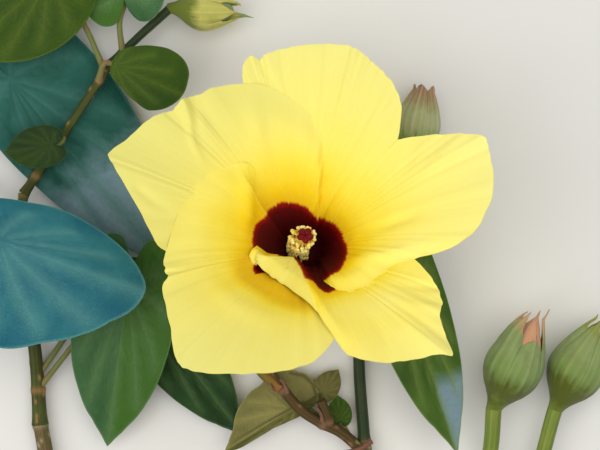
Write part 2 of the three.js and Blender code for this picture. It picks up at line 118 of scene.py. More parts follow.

# Each petal: how much of its rim lies over the next petal, its rim as [degrees, reach] from the margin
# that lies on top, edge of its dark blotch the same way, and folds as (line of [degrees, reach], width,
# heights). How far its yellow greys to the rim is painted shade, on the outer parts of the petals to the
# upper left. A "deep" line, with width and amount, is a richer yellow, or a paler one below 0; on the lower
# left petal it is painted shade under the ear's margin. "slack" holds back the spread of the margin on
# top: by which power, and the shares of the rim where that is full and where it ends
PETALS = {
    "petal_top": {
        "lap": 0.08, "painted_shade": 0.45,
        "rim": [
            [43, 33], [51, 40], [58, 43.5], [64, 45.2], [68.4, 46.4], [72, 47.7], [76, 48.4], [84, 48],
            [92, 47.4], [99, 46.8], [103.9, 46.2], [105.9, 45.2], [108.2, 46.9], [111.5, 45.6],
            [113.3, 43], [116, 38], [124, 28], [134, 17],
        ],
        "blotch": [[43, 8], [64, 8.6], [70, 9.3], [84, 10], [99, 10.5], [112, 11.4], [134, 11.6]],
        "folds": [
            ([[46, 30], [52, 20], [60, 12]], 2.2, [0.2, 0.5, 0.2]),
            ([[106, 46.5], [104, 40], [101, 34]], 1.0, [-0.9, -0.5, 0]),
            ([[72, 48], [73, 40], [74, 30]], 1.4, [-0.6, -0.3, 0]),
            ([[86, 46], [85, 36], [83, 26]], 1.8, [0.5, 0.4, 0]),
        ],
    },
    "petal_upper_left": {
        "lap": 0.36, "painted_shade": 1.0,
        "rim": [
            [64, 8], [70, 12], [74, 16], [76.5, 20.5], [81, 26], [87, 30], [98, 35], [107, 39], [115, 41],
            [124.6, 43.2], [131, 44], [134.5, 45.2], [137, 45.7], [141.2, 45.4], [144.2, 46.8],
            [148.9, 48.6], [157, 50.4], [163.8, 53.4], [166.2, 52.2], [171, 48], [181, 42], [194, 38],
            [206, 28], [216, 17],
        ],
        "blotch": [
            [64, 8], [74, 8.8], [86, 9.9], [98, 10.7], [107, 11.2], [126, 12.4], [144, 12.9], [156, 12.7],
            [167, 13.7], [177, 14.3], [216, 14],
        ],
        "folds": [
            ([[136, 46.5], [140, 41], [146, 36.4], [151, 31]], 0.9, [1.2, 0.9, 0.6, 0]),
            ([[133, 45.5], [137, 40], [142, 36]], 0.9, [-0.8, -0.5, 0]),
            ([[172, 44], [175, 39.7], [178, 34]], 1.2, [-0.5, -0.5, 0]),
            ([[112, 38], [116, 30], [124, 22]], 2.4, [0.3, 0.6, 0.2]),
        ],
    },
    "petal_lower_left": {
        "lap": 0.33, "slack": [4.5, 0, 0.14], "painted_shade": 0.45,
        "rim": [
            [129, 17], [131, 23], [139, 26], [158, 30.4], [176, 33], [191, 36], [199, 38.6], [203.2, 39.4],
            [206.6, 39.7], [209, 41.9], [214.4, 43.6], [223.7, 47.1], [231.3, 51.9], [235.1, 52.7],
            [241, 50.8], [251, 46.3], [264, 42], [275, 38], [288, 28], [298, 16],
        ],
        "blotch": [
            [129, 13], [159, 13.3], [169, 14.5], [180, 15.1], [189, 15.2], [200, 15.5], [212, 16],
            [218.5, 18.2], [223, 18.4], [226.5, 16], [235, 13], [298, 12],
        ],
        # Painted shade: a richer, darker yellow under the ear's margin, where shade falls
        "deep": [([[216.7, 18.7], [228.8, 19.3], [241.6, 19.9], [254.3, 20.4], [267.6, 21.3]], 4.5, 7)],
        "folds": [
            ([[134, 24], [146, 19.8], [164, 17.2], [183, 17]], 1.8, [0.5, 1.2, 1.4, 0.4]),
            ([[204, 40], [205, 38], [206, 35]], 0.7, [-0.8, -0.3, 0]),
            ([[216, 19], [230, 20], [247, 20.6], [262, 21]], 2.6, [-0.2, -0.5, -0.5, -0.3]),
            ([[214, 30], [232, 30], [250, 29]], 3.0, [0.2, 0.7, 0.4]),
        ],
    },
    "petal_lower_right": {
        "lap": 0.42, "slack": [1.5, 0.05, 0.3],
        "rim": [
            [196, 14], [207, 17.2], [219, 16.6], [236, 15.8], [251, 16], [268, 19.6], [276, 24],
            [281, 31], [285, 39], [292, 44], [300, 47], [308, 50.4], [311.5, 54.5], [315, 49],
            [319.5, 44], [324, 42.2], [328.6, 39], [332, 36], [342, 27], [354, 16],
        ],
        "blotch": [
            [196, 8], [213, 9], [231, 12], [264, 14], [277, 14.9], [281.5, 17.8], [287, 19.4],
            [293, 19.1], [300, 18.5], [315, 16.5], [354, 13],
        ],
        "folds": [
            ([[297, 46], [300, 38], [303, 30]], 2.0, [-0.7, -0.4, 0]),
            ([[311, 54], [310, 46], [309, 36]], 2.2, [1.0, 0.6, 0]),
            ([[321, 42], [318, 36], [314, 28]], 1.6, [0.8, 0.4, 0]),
            ([[329, 38], [325, 32], [321, 26]], 1.4, [-0.7, -0.4, 0]),
        ],
        "deep": [([[290, 26], [300, 28], [312, 30]], 5, -9)],
        # Ridge of the ear that folds over beside the column, and how high it stands
        "ear": [
            [209, 17.4, 0.2], [206.5, 16.3, 1.2], [205, 15, 2.2], [211.3, 14.5, 3], [218, 14, 3.8],
            [219.4, 12.4, 4.4], [222.3, 10.3, 5], [228.5, 8.5, 5.2], [236, 7.5, 5], [254, 8.4, 4.4],
            [267, 12, 3.6], [273, 17.1, 2.6], [276.5, 21.6, 1.8], [279.6, 28.2, 1.2], [282.6, 34, 0.7],
        ],
    },
    "petal_right": {
        "lap": 0.36,
        "rim": [
            [288, 14], [294, 18.7], [301, 21.6], [315, 23.7], [332, 24.8], [340, 30.5], [347, 39.4],
            [353, 44], [366, 48.6], [378, 50], [383, 50.6], [388, 46], [393, 41], [403, 33], [414, 26],
            [426, 18], [436, 10],
        ],
        "blotch": [
            [288, 14.6], [296, 15.1], [308, 15.1], [322, 14], [337, 12.6], [359, 10.4], [385, 9.3],
            [405, 8.6], [418, 7.7], [436, 7.5],
        ],
        "folds": [
            ([[356, 13], [361.6, 23], [362.3, 31]], 1.6, [0.2, -0.9, 0]),
            ([[388, 46], [384, 38], [380, 28]], 2.0, [0.6, 0.4, 0]),
            ([[398, 36], [392, 32], [386, 25]], 2.0, [-0.5, -0.4, 0]),
            ([[324, 15], [334, 19], [341, 26]], 2.2, [0.5, 0.8, 0.3]),
        ],
        "deep": [([[298, 18], [312, 20], [328, 21], [346, 30]], 4, -9)],
    },
}


def rows(*columns):
    """Points, one a row, from arrays of x, y and z."""
    return np.stack(np.broadcast_arrays(*columns), axis=-1)


def unit(vectors):
    vectors = np.asarray(vectors, float)
    return vectors / np.linalg.norm(vectors, axis=-1, keepdims=True)


def smooth_step(low, high, value):
    share = np.clip((value - low) / (high - low), 0, 1)
    return share * share * (3 - 2 * share)


def hump(distance, width):
    """Rounded ridge: 1 on its line and fading out over the width."""
    return np.exp(-((distance / width) ** 2))


def smooth_through(values, t, pull=0.85):
    """Smooth run through evenly spaced values, read at places t from 0 to 1."""
    values = np.asarray(values, float)
    last = len(values) - 1
    padded = np.concatenate([[2 * values[0] - values[1]], values, [2 * values[-1] - values[-2]]])
    place = np.clip(t, 0, 1) * last
    i = np.minimum(place.astype(int), last - 1)
    f = place - i
    a, b, c, d = (padded[i + k] for k in range(4))
    rise_b, rise_c = pull * (c - a) / 2, pull * (d - b) / 2
    return (
        b * (2 * f**3 - 3 * f**2 + 1) + rise_b * (f**3 - 2 * f**2 + f)
        + c * (3 * f**2 - 2 * f**3) + rise_c * (f**3 - f**2)
    )


def ripple(t, seed, waves):
    """Irregular wave between about -1 and 1, from a band of wave counts."""
    draw = np.random.default_rng(seed)
    total = sum(
        draw.uniform(0.4, 1) * np.sin(2 * math.pi * (count * t + draw.uniform())) for count in range(*waves)
    )
    return total / math.sqrt(waves[1] - waves[0])


def near_line(x, y, line):
    """Distance from each place to a broken line, how far along the line (0 to 1) that is, and whether
    the place is to the right of the line."""
    line = np.asarray(line, float)
    nearest = np.full(np.shape(x), np.inf)
    along = np.zeros(np.shape(x))
    right = np.zeros(np.shape(x), bool)
    for k in range(len(line) - 1):
        (x0, y0), (x1, y1) = line[k], line[k + 1]
        dx, dy = x1 - x0, y1 - y0
        share = np.clip(((x - x0) * dx + (y - y0) * dy) / (dx * dx + dy * dy), 0, 1)
        distance = np.hypot(x - x0 - share * dx, y - y0 - share * dy)
        closer = distance < nearest
        nearest = np.where(closer, distance, nearest)
        along = np.where(closer, (k + share) / (len(line) - 1), along)
        right = np.where(closer, dx * (y - y0) < dy * (x - x0), right)
    return nearest, along, right


# Making meshes


def deselect():
    bpy.ops.object.select_all(action="DESELECT")


def alone(piece):
    deselect()
    piece.select_set(True)
    bpy.context.view_layer.objects.active = piece


def flat_sheet(name, across, along):
    """Square sheet to be shaped, across by along faces."""
    deselect()
    bpy.ops.mesh.primitive_grid_add(x_subdivisions=across, y_subdivisions=along, size=1)
    piece = bpy.context.active_object
    piece.name = piece.data.name = name
    return piece


def sheet_places(piece):
    """How far across (t) and along (s) the sheet each vertex is, from 0 to 1."""
    flat = np.empty(len(piece.data.vertices) * 3)
    piece.data.vertices.foreach_get("co", flat)
    return flat[0::3] + 0.5, flat[1::3] + 0.5


def put(piece, points):
    """Moves the vertices to layout places in millimetres."""
    piece.data.vertices.foreach_set("co", ((points + SHIFT) * MM).ravel())
    piece.data.update()


def mark(piece, name, values):
    """Keeps a number at each vertex for the finish to read."""
    layer = piece.data.attributes.new(name, "FLOAT", "POINT")
    layer.data.foreach_set("value", np.broadcast_to(values, len(piece.data.vertices)).astype(np.float32))


def lay_map(piece, u, v):
    """Lays the piece's pattern map by a place for each vertex."""
    mesh = piece.data
    corners = np.empty(len(mesh.loops), np.int32)
    mesh.loops.foreach_get("vertex_index", corners)
    mesh.uv_layers.active.data.foreach_set("uv", rows(u, v)[corners].astype(np.float32).ravel())


def apply_modifier(piece, kind, **settings):
    alone(piece)
    bpy.ops.object.modifier_add(type=kind)
    modifier = piece.modifiers[-1]
    for key, value in settings.items():
        setattr(modifier, key, value)
    bpy.ops.object.modifier_apply(modifier=modifier.name)


def close_seams(piece, fill=True):
    """Merges a wrapped sheet's seam and poles, closes its ends and turns its faces outwards."""
    alone(piece)
    bpy.ops.object.mode_set(mode="EDIT")
    bpy.ops.mesh.select_all(action="SELECT")
    bpy.ops.mesh.remove_doubles(threshold=MERGED * MM)
    if fill:
        bpy.ops.mesh.fill_holes(sides=0)
    bpy.ops.mesh.select_all(action="SELECT")
    bpy.ops.mesh.normals_make_consistent(inside=False)
    bpy.ops.object.mode_set(mode="OBJECT")


def thicken(piece, wall, offset=0.0):
    apply_modifier(piece, "SOLIDIFY", thickness=wall * MM, offset=offset)
    close_seams(piece, fill=False)


def finish_piece(piece, material, slot, *nodes):
    """Gives a piece its finish, hangs it from the root and hides the solids that it stands for."""
    alone(piece)
    bpy.ops.object.shade_smooth_by_angle(angle=SHARP_EDGE)
    piece.data.materials.clear()
    piece.data.materials.append(material)
    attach(piece, "root")
    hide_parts(*nodes)
    return piece


def joined(pieces, name):
    deselect()
    for piece in pieces:
        piece.select_set(True)
    bpy.context.view_layer.objects.active = pieces[0]
    if len(pieces) > 1:
        bpy.ops.object.join()
    whole = bpy.context.active_object
    whole.name = whole.data.name = name
    return whole


def copies(model, matrices, name):
    """One piece made of copies of a model, which is used up."""
    made = []
    for matrix in matrices:
        copy = model.copy()
        copy.data = model.data.copy()
        copy.data.transform(matrix)
        bpy.context.collection.objects.link(copy)
        made.append(copy)
    bpy.data.objects.remove(model)
    return joined(made, name)


# Smooth routes


def route_curve(route):
    """Close places along the smooth curve through a route's points."""
    p = np.asarray(route, float)
    p = np.concatenate([[2 * p[0] - p[1]], p, [2 * p[-1] - p[-2]]])
    found = []
    f = np.linspace(0, 1, 60, endpoint=False)[:, None]
    for a, b, c, d in zip(p, p[1:], p[2:], p[3:]):
        ab, bc, cd = (math.sqrt(np.linalg.norm(q - r)) for q, r in ((b, a), (c, b), (d, c)))
        start = ((b - a) / ab - (c - a) / (ab + bc) + (c - b) / bc) * bc
        end = ((c - b) / bc - (d - b) / (bc + cd) + (d - c) / cd) * bc
        found.append(
            b + f * start + f**2 * (3 * (c - b) - 2 * start - end) + f**3 * (2 * (b - c) + start + end)
        )
    return np.concatenate([*found, p[-2:-1]])


def even_places(route, count):
    """Evenly spaced places along a route's curve, and the length of the curve."""
    curve = route_curve(route)
    run = np.concatenate([[0], np.cumsum(np.linalg.norm(np.diff(curve, axis=0), axis=1))])
    wanted = np.linspace(0, run[-1], count)
    return np.stack([np.interp(wanted, run, curve[:, k]) for k in range(3)], axis=1), run[-1]


def carried_frames(centres):
    """Direction along a route at each place, and two across it that turn as little as they can."""
    ahead = unit(np.gradient(centres, axis=0))
    side = np.cross(ahead[0], [0, 0, 1])
    sides = []
    for direction in ahead:
        side = unit(side - direction * np.dot(side, direction))
        sides.append(side)
    sides = np.array(sides)
    return ahead, sides, np.cross(sides, ahead)


def turned_directions(heading, pitch, roll=0):
    """Unit directions along, across and up from a heading that is tilted by pitch and roll."""
    turn = (
        Matrix.Rotation(math.radians(heading), 3, "Z")
        @ Matrix.Rotation(-math.radians(pitch), 3, "Y")
        @ Matrix.Rotation(math.radians(roll), 3, "X")
    )
    return np.array(turn).T


# Finishes


def screen(red, green, blue):
    """Scene colour of a screen colour given from 0 to 255."""
    def linear(value):
        value /= 255
        return value / 12.92 if value <= 0.04045 else ((value + 0.055) / 1.055) ** 2.4
    return (linear(red), linear(green), linear(blue), 1.0)


class Finish:
    """A material that is built up in layers of colour and relief. Colours are given as on a screen."""

    def __init__(self, name, roughness, shine=0.2, **skin):
        self.material = bpy.data.materials.new(name)
        self.material.use_nodes = True
        self.tree = self.material.node_tree
        self.skin = self.tree.nodes["Principled BSDF"]
        self.colour = self.normal = None
        for socket, value in {"Roughness": roughness, "Specular IOR Level": shine, **skin}.items():
            self.skin.inputs[socket.replace("_", " ")].default_value = value

    def feed(self, socket, value):
        if isinstance(value, bpy.types.NodeSocket):
            self.tree.links.new(value, socket)
        else:
            socket.default_value = screen(*value) if socket.type == "RGBA" else value

    def node(self, kind, inputs=(), settings=(), output=0):
        made = self.tree.nodes.new("ShaderNode" + kind)
        for key, value in dict(settings).items():
            setattr(made, key, value)
        for key, value in dict(inputs).items():
            self.feed(made.inputs[key], value)
        return made.outputs[output]

    def marked(self, name, most=1):
        """Mark that the piece keeps at its vertices, times the most that it may show."""
        found = self.node("Attribute", settings={"attribute_name": name}, output="Fac")
        return found if most == 1 else self.sum(found, most, "MULTIPLY")

    def own_map(self, x=1, y=1):
        """The piece's own map, stretched."""
        return self.node("Mapping", {"Vector": self.node("TexCoord", output="UV"), "Scale": (x, y, 1)})

    def noise(self, scale, detail=3, roughness=0.5, distortion=0, where=None):
        """Cloudy pattern in the part's space, or on a map that is already stretched."""
        inputs = {"Scale": scale, "Detail": detail, "Roughness": roughness, "Distortion": distortion}
        inputs["Vector"] = self.node("TexCoord", output="Object") if where is None else where
        return self.node("TexNoise", inputs)

    def cells(self, scale):
        return self.node(
            "TexVoronoi", {"Vector": self.own_map(), "Scale": scale}, {"feature": "DISTANCE_TO_EDGE"},
            "Distance",
        )

    def fit(self, value, low, high, to_low=0, to_high=1):
        return self.node(
            "MapRange",
            {"Value": value, "From Min": low, "From Max": high, "To Min": to_low, "To Max": to_high},
        )

    def sum(self, first, second, how="ADD"):
        return self.node("Math", {0: first, 1: second}, {"operation": how})

    def ramp(self, value, *stops):
        made = self.tree.nodes.new("ShaderNodeValToRGB")
        self.tree.links.new(value, made.inputs[0])
        stones = made.color_ramp.elements
        while len(stones) < len(stops):
            stones.new(0.5)
        for stone, (position, colour) in zip(stones, stops):
            stone.position, stone.color = position, screen(*colour)
        return made.outputs[0]

    def mix(self, share, first, second):
        return self.node("Mix", {0: share, 6: first, 7: second}, {"data_type": "RGBA"}, 2)

    def tint(self, share, colour):
        """Lays a colour over what is there, by a share."""
        self.colour = self.mix(share, self.colour, colour)

    def bump(self, height, depth):
        """Adds relief of a depth in millimetres to what is there."""
        inputs = {"Height": height, "Distance": depth * MM, "Strength": 1.0}
        if self.normal is not None:
            inputs["Normal"] = self.normal
        self.normal = self.node("Bump", inputs)

    def done(self, roughness=None):
        for name, value in (("Base Color", self.colour), ("Roughness", roughness), ("Normal", self.normal)):
            if value is not None:
                self.tree.links.new(value, self.skin.inputs[name])
        return self.material


def petal_finish():
    """Lemon yellow with a fan of streaks, and a ragged maroon blotch at the foot."""
    finish = Finish("petal", 0.6, 0.12)
    streaks = finish.noise(1, 4, 0.6, 0.15, finish.own_map(46, 1.6))
    fine_streaks = finish.noise(1, 3, 0.6, where=finish.own_map(150, 4))
    wander = finish.sum(finish.marked("tone"), finish.fit(finish.noise(90), 0.3, 0.7, -1.5, 1.5))
    finish.colour = finish.ramp(
        finish.fit(wander, 0, 40),
        (0.0, (232, 184, 0)), (0.09, (242, 204, 12)), (0.2, (249, 224, 64)),
        (0.36, (251, 232, 100)), (0.6, (250, 236, 122)), (1.0, (245, 237, 138)),
    )
    finish.tint(finish.fit(streaks, 0.45, 0.7, 0, 0.12), (226, 208, 92))
    finish.tint(finish.fit(fine_streaks, 0.5, 0.75, 0, 0.07), (255, 248, 180))
    # Greyer yellow: the ear's margin past its ridge, and painted shade on the outer parts of the upper left
    # petals
    finish.tint(finish.marked("pale", 0.6), (222, 216, 118))
    yellow = finish.colour
    past = finish.marked("past_blotch")
    finish.colour = finish.ramp(
        finish.fit(past, -7, 0), (0.0, (54, 0, 2)), (0.5, (66, 0, 2)), (0.8, (86, 0, 2)), (1.0, (158, 10, 2)),
    )
    finish.tint(finish.fit(streaks, 0.4, 0.62, 0, 0.35), (62, 0, 2))
    ragged = finish.sum(past, finish.fit(streaks, 0.3, 0.7, -0.3, 0.3))
    finish.tint(finish.fit(ragged, -0.3, 0.3), yellow)
    relief = finish.sum(finish.fit(streaks, 0.3, 0.7), finish.fit(fine_streaks, 0.3, 0.7, 0, 0.5))
    finish.bump(relief, 0.05)
    finish.bump(finish.noise(480, 4, 0.6), 0.06)
    return finish.done()


def leaf_finish(name, deep, light, vein, left_half=None, tip=None, gloss=0.5, lines=0.6):
    """Leaf skin: mottled between two greens, with paler veins, a net of small ones and a thin margin."""
    finish = Finish(name, gloss)
    broad = finish.noise(55, 4, 0.6, 0.4)
    fine = finish.noise(700)
    net = finish.cells(55)
    finish.colour = finish.mix(finish.fit(broad, 0.32, 0.68), deep, light)
    if left_half:
        finish.tint(finish.marked("left_half", 0.8), left_half)
    # Painted sheen: a blue-grey reflection towards the leaf's tip
    if tip:
        drift = finish.sum(finish.marked("tip_sheen"), finish.fit(broad, 0.3, 0.7, -0.3, 0.3))
        finish.tint(finish.fit(drift, 0.2, 0.8), tip)
    # Painted sheen: paler bands along the main veins
    finish.tint(finish.marked("band", 0.4), vein)
    finish.tint(finish.fit(net, 0.0, 0.09, 0.2 * lines, 0), vein)
    finish.tint(finish.fit(fine, 0.45, 0.75, 0, 0.14), deep)
    finish.tint(finish.marked("vein", lines), vein)
    # Painted shade: darker green along the folded leaf's creases
    finish.tint(finish.marked("crease_shade", 0.75), finish.mix(0.58, deep, (0, 0, 0)))
    finish.tint(finish.marked("margin", 0.7), vein)
    finish.bump(finish.sum(finish.fit(net, 0, 0.12), finish.fit(fine, 0.3, 0.7, 0, 0.35)), 0.08)
    return finish.done(finish.fit(broad, 0.3, 0.7, gloss - 0.08, gloss + 0.12))


def bark_finish(name, dark, light, spot, green=None):
    """Young bark: long ridges, corky spots and paler rings at the joints."""
    finish = Finish(name, 0.8)
    ridges = finish.noise(1, 4, 0.6, where=finish.own_map(26, 0.22))
    finish.colour = finish.mix(finish.fit(ridges, 0.35, 0.65), dark, light)
    if green:
        finish.tint(finish.fit(finish.noise(160), 0.42, 0.62, 0, 0.7), green)
    finish.tint(finish.marked("spot"), spot)
    finish.tint(finish.marked("joint", 0.6), spot)
    finish.bump(ridges, 0.25)
    finish.bump(finish.noise(1500), 0.05)
    return finish.done(finish.fit(ridges, 0.3, 0.7, 0.9, 0.68))


def stalk_finish(name, deep, light, blush, amount=0.5):
    """Green stalk: fine long lines, a blush that comes and goes, and a pale down."""
    finish = Finish(name, 0.55, 0.3, Sheen_Weight=0.15, Sheen_Roughness=0.5)
    lines = finish.noise(1, 3, 0.6, where=finish.own_map(18, 0.12))
    finish.colour = finish.mix(finish.fit(lines, 0.35, 0.65), deep, light)
    finish.tint(finish.fit(finish.noise(120), 0.45, 0.65, 0, amount), blush)
    finish.tint(finish.marked("joint", 0.8), blush)
    finish.bump(lines, 0.12)
    finish.bump(finish.noise(2200, 2), 0.04)
    return finish.done()


def bud_finish(name, foot, body, rib, tip, start=None, upper=None, blush=(0.78, 0.97)):
    """Closed bud's skin: olive foot, grey-green body with paler ribs, pink-tan tips, fine down, and painted
    shade in its slits.
    """
    finish = Finish(name, 0.7, Sheen_Weight=0.12, Sheen_Roughness=0.6)
    patches = finish.noise(130, 4, 0.6)
    finish.colour = finish.ramp(
        finish.sum(finish.marked("up"), finish.fit(patches, 0.3, 0.7, -0.1, 0.1)),
        (0.0, start or foot), (0.12, foot), (0.24, foot), (0.42, body), (0.62, upper or body),
        (blush[0], upper or body), (blush[1], tip),
    )
    finish.tint(finish.marked("rib", 0.55), rib)
    finish.tint(finish.fit(patches, 0.5, 0.72, 0, 0.35), foot)
    # Painted shade in the slits between the sepals and between the rolled petals, and in spots at the seams
    finish.tint(finish.marked("slit_shade"), (56, 52, 26))
    finish.bump(finish.noise(1, where=finish.own_map(70, 2)), 0.2)
    finish.bump(finish.noise(2400, 2), 0.07)
    return finish.done()


def pollen_finish():
    finish = Finish("pollen", 0.85, 0.15)
    grain = finish.noise(3500, 2)
    finish.colour = finish.mix(finish.fit(finish.noise(420, 2), 0.4, 0.6), (255, 212, 70), (255, 240, 140))
    finish.tint(finish.fit(grain, 0.45, 0.7, 0, 0.5), (255, 246, 190))
    finish.bump(grain, 0.08)
    return finish.done()


def column_finish():
    """Maroon at the foot, turning yellow upwards."""
    finish = Finish("column", 0.5, 0.3)
    finish.colour = finish.ramp(
        finish.marked("up"), (0.0, (70, 4, 12)), (0.3, (150, 60, 20)), (0.5, (228, 190, 70))
    )
    finish.bump(finish.noise(1, 2, where=finish.own_map(20, 1)), 0.1)
    return finish.done()


def stigma_finish():
    finish = Finish("stigma", 0.7)
    grain = finish.noise(2600, 2)
    finish.colour = finish.mix(finish.fit(grain, 0.4, 0.65), (84, 0, 8), (140, 12, 22))
    finish.bump(grain, 0.09)
    return finish.done()


def floor_finish():
    finish = Finish("floor", 0.9, 0.1)
    finish.colour = finish.mix(finish.fit(finish.noise(6, 2), 0.3, 0.7), (226, 224, 219), (232, 230, 226))
    return finish.done()


PETAL = petal_finish()
POLLEN = pollen_finish()
COLUMN_SKIN = column_finish()
STIGMA_SKIN = stigma_finish()

# Leaf skins: deep and light green, veins, and what sets each skin apart; a "tip" colour is a painted
# blue-grey sheen towards the leaf's tip
LEAF_COLOURS = {
    "teal": ((12, 92, 110), (50, 122, 126), (92, 148, 142), {"gloss": 0.55, "lines": 0.25}),
    "teal_low": (
        (4, 68, 54), (32, 96, 84), (70, 124, 112), {"tip": (122, 150, 160), "gloss": 0.55, "lines": 0.35}
    ),
    "green": ((46, 88, 44), (68, 108, 66), (98, 132, 80), {"left_half": (60, 102, 12), "lines": 0.4}),
    "right": ((46, 78, 12), (72, 104, 30), (116, 140, 66), {"tip": (122, 148, 160)}),
    "dark": ((14, 46, 8), (34, 72, 26), (84, 116, 66), {"tip": (50, 96, 112)}),
    "olive": ((34, 66, 4), (58, 84, 10), (88, 108, 34), {"gloss": 0.6, "lines": 0.4}),
    "inner": ((18, 44, 10), (40, 64, 18), (60, 82, 32), {"gloss": 0.6, "lines": 0.3}),
    "brown": ((112, 108, 58), (142, 134, 82), (158, 154, 84), {"left_half": (76, 82, 34), "gloss": 0.6}),
    "young": ((76, 76, 30), (106, 100, 52), (128, 122, 70), {"gloss": 0.6}),
}
LEAF_SKINS = {
    kind: leaf_finish("leaf_" + kind, *colours, **apart) for kind, (*colours, apart) in LEAF_COLOURS.items()
}

# Bark: dark, light, corky spots and a green bloom
BARK = bark_finish("bark", (78, 62, 40), (124, 104, 70), (164, 146, 112), (82, 90, 44))
CUT_WOOD = bark_finish("cut_wood", (186, 168, 116), (212, 196, 150), (150, 126, 80))
TWIG = bark_finish("twig", (64, 50, 26), (100, 80, 46), (150, 110, 84))
SHOOT = bark_finish("shoot", (48, 52, 24), (86, 88, 46), (158, 118, 70), (74, 92, 38))

# Stalks: deep, light, blush and how much of it
STALK = stalk_finish("stalk", (82, 106, 18), (126, 142, 54), (140, 142, 56), 0.4)
STEM = stalk_finish("stem", (14, 34, 2), (38, 58, 12), (60, 66, 24), 0.3)
PEDICEL_SKIN = stalk_finish("pedicel", (92, 86, 6), (126, 110, 26), (150, 88, 36))
BLUSH = stalk_finish("blush", (104, 58, 42), (134, 94, 72), (150, 118, 92), 0.4)
LEAF_STALK = stalk_finish("leaf_stalk", (84, 98, 40), (124, 130, 66), (160, 104, 76), 0.6)

# Buds: foot, body, ribs and tips
BUD_GREEN = {"start": (112, 130, 42), "upper": (132, 150, 92)}
BUD_SKIN = bud_finish("bud", (78, 88, 0), (114, 138, 70), (150, 166, 112), (206, 156, 118), **BUD_GREEN)
BUD_OLIVE = bud_finish("bud_olive", (78, 88, 0), (114, 138, 70), (158, 168, 96), (150, 150, 56), **BUD_GREEN)
BUD_CREAM = bud_finish(
    "bud_cream", (128, 160, 76), (166, 170, 122), (196, 192, 156), (158, 118, 88), blush=(0.62, 0.84)
)
BUD_YELLOW = bud_finish("bud_yellow", (104, 118, 30), (184, 180, 88), (206, 200, 130), (130, 152, 96))
PETALS_IN_BUD = bud_finish("petals_in_bud", (156, 120, 74), (206, 152, 116), (218, 168, 132), (212, 158, 120))
CALYX_SKIN = bud_finish("calyx", (128, 134, 60), (150, 160, 96), (186, 192, 136), (178, 160, 110))


# Petals


def bloom_point(angle, reach, height):
    """Place in the bloom: angle and reach round its axis, height along it."""
    lean = math.radians(BLOOM["lean"])
    side, slope = reach * np.cos(angle), reach * np.sin(angle)
    return BLOOM["base"] + rows(
        side, slope * math.cos(lean) + height * math.sin(lean),
        height * math.cos(lean) - slope * math.sin(lean),
    )


def petal_point(degrees, reach, middle, offset, lifted=0):
    """Place on a petal: its share of the common funnel, moved across the blade and lifted upright."""
    beyond = np.maximum(reach - BLOOM["claw"], 1e-3)
    climb = BLOOM["rise"] * (beyond / BLOOM["reach"]) ** BLOOM["flare"]
    slope = climb * BLOOM["flare"] / beyond
    across = (BLOOM["step"] * (middle - degrees) / PETAL_SPACING + offset) / np.hypot(1, slope)
    height = BLOOM["floor"] + climb + across + lifted
    return bloom_point(np.radians(degrees), reach - slope * across, height)


def polar(degrees, reach):
    return reach * np.cos(np.radians(degrees)), reach * np.sin(np.radians(degrees))


def near_fold(x, y, line):
    return near_line(x, y, [polar(*corner[:2]) for corner in line])


def fold_lift(x, y, fold):
    line, width, heights = fold
    distance, along, _ = near_fold(x, y, line)
    return hump(distance, width) * np.interp(along, np.linspace(0, 1, len(heights)), heights)


def ear_lift(x, y, ear):
    """Rise of the folded ear: steep towards the column, falling evenly to its free margin."""
    gap, along, outer = near_fold(x, y, ear)
    height = np.interp(along, np.linspace(0, 1, len(ear)), np.array(ear, float)[:, 2])
    fall = np.where(outer, np.clip(1 - gap / EAR_BREADTH, 0, 1) ** 1.2, hump(gap, 2.2))
    soft = smooth_step(0, 0.9, gap)
    return height * (fall * soft + (1 - soft) * 0.93), np.where(outer, gap, -gap)


def margin_waves(t, s, petal, seed):
    """Ruffles of the petal's free margin, and the dip of the part that lies on the next petal."""
    lap = petal["lap"]
    ruffled = smooth_step(0.7, 1.0, s) * (smooth_step(lap, lap + 0.1, t) * smooth_step(1, 0.85, t))
    lapped = smooth_step(lap + 0.06, lap - 0.02, t) * smooth_step(0.84, 1, s)
    waves = ruffled * (RIM_WAVES * ripple(t, seed + 2, (4, 11)) - RIM_CURL * s**8)
    return waves, LAP_DIP * np.maximum(lapped, smooth_step(0.09, 0, t))


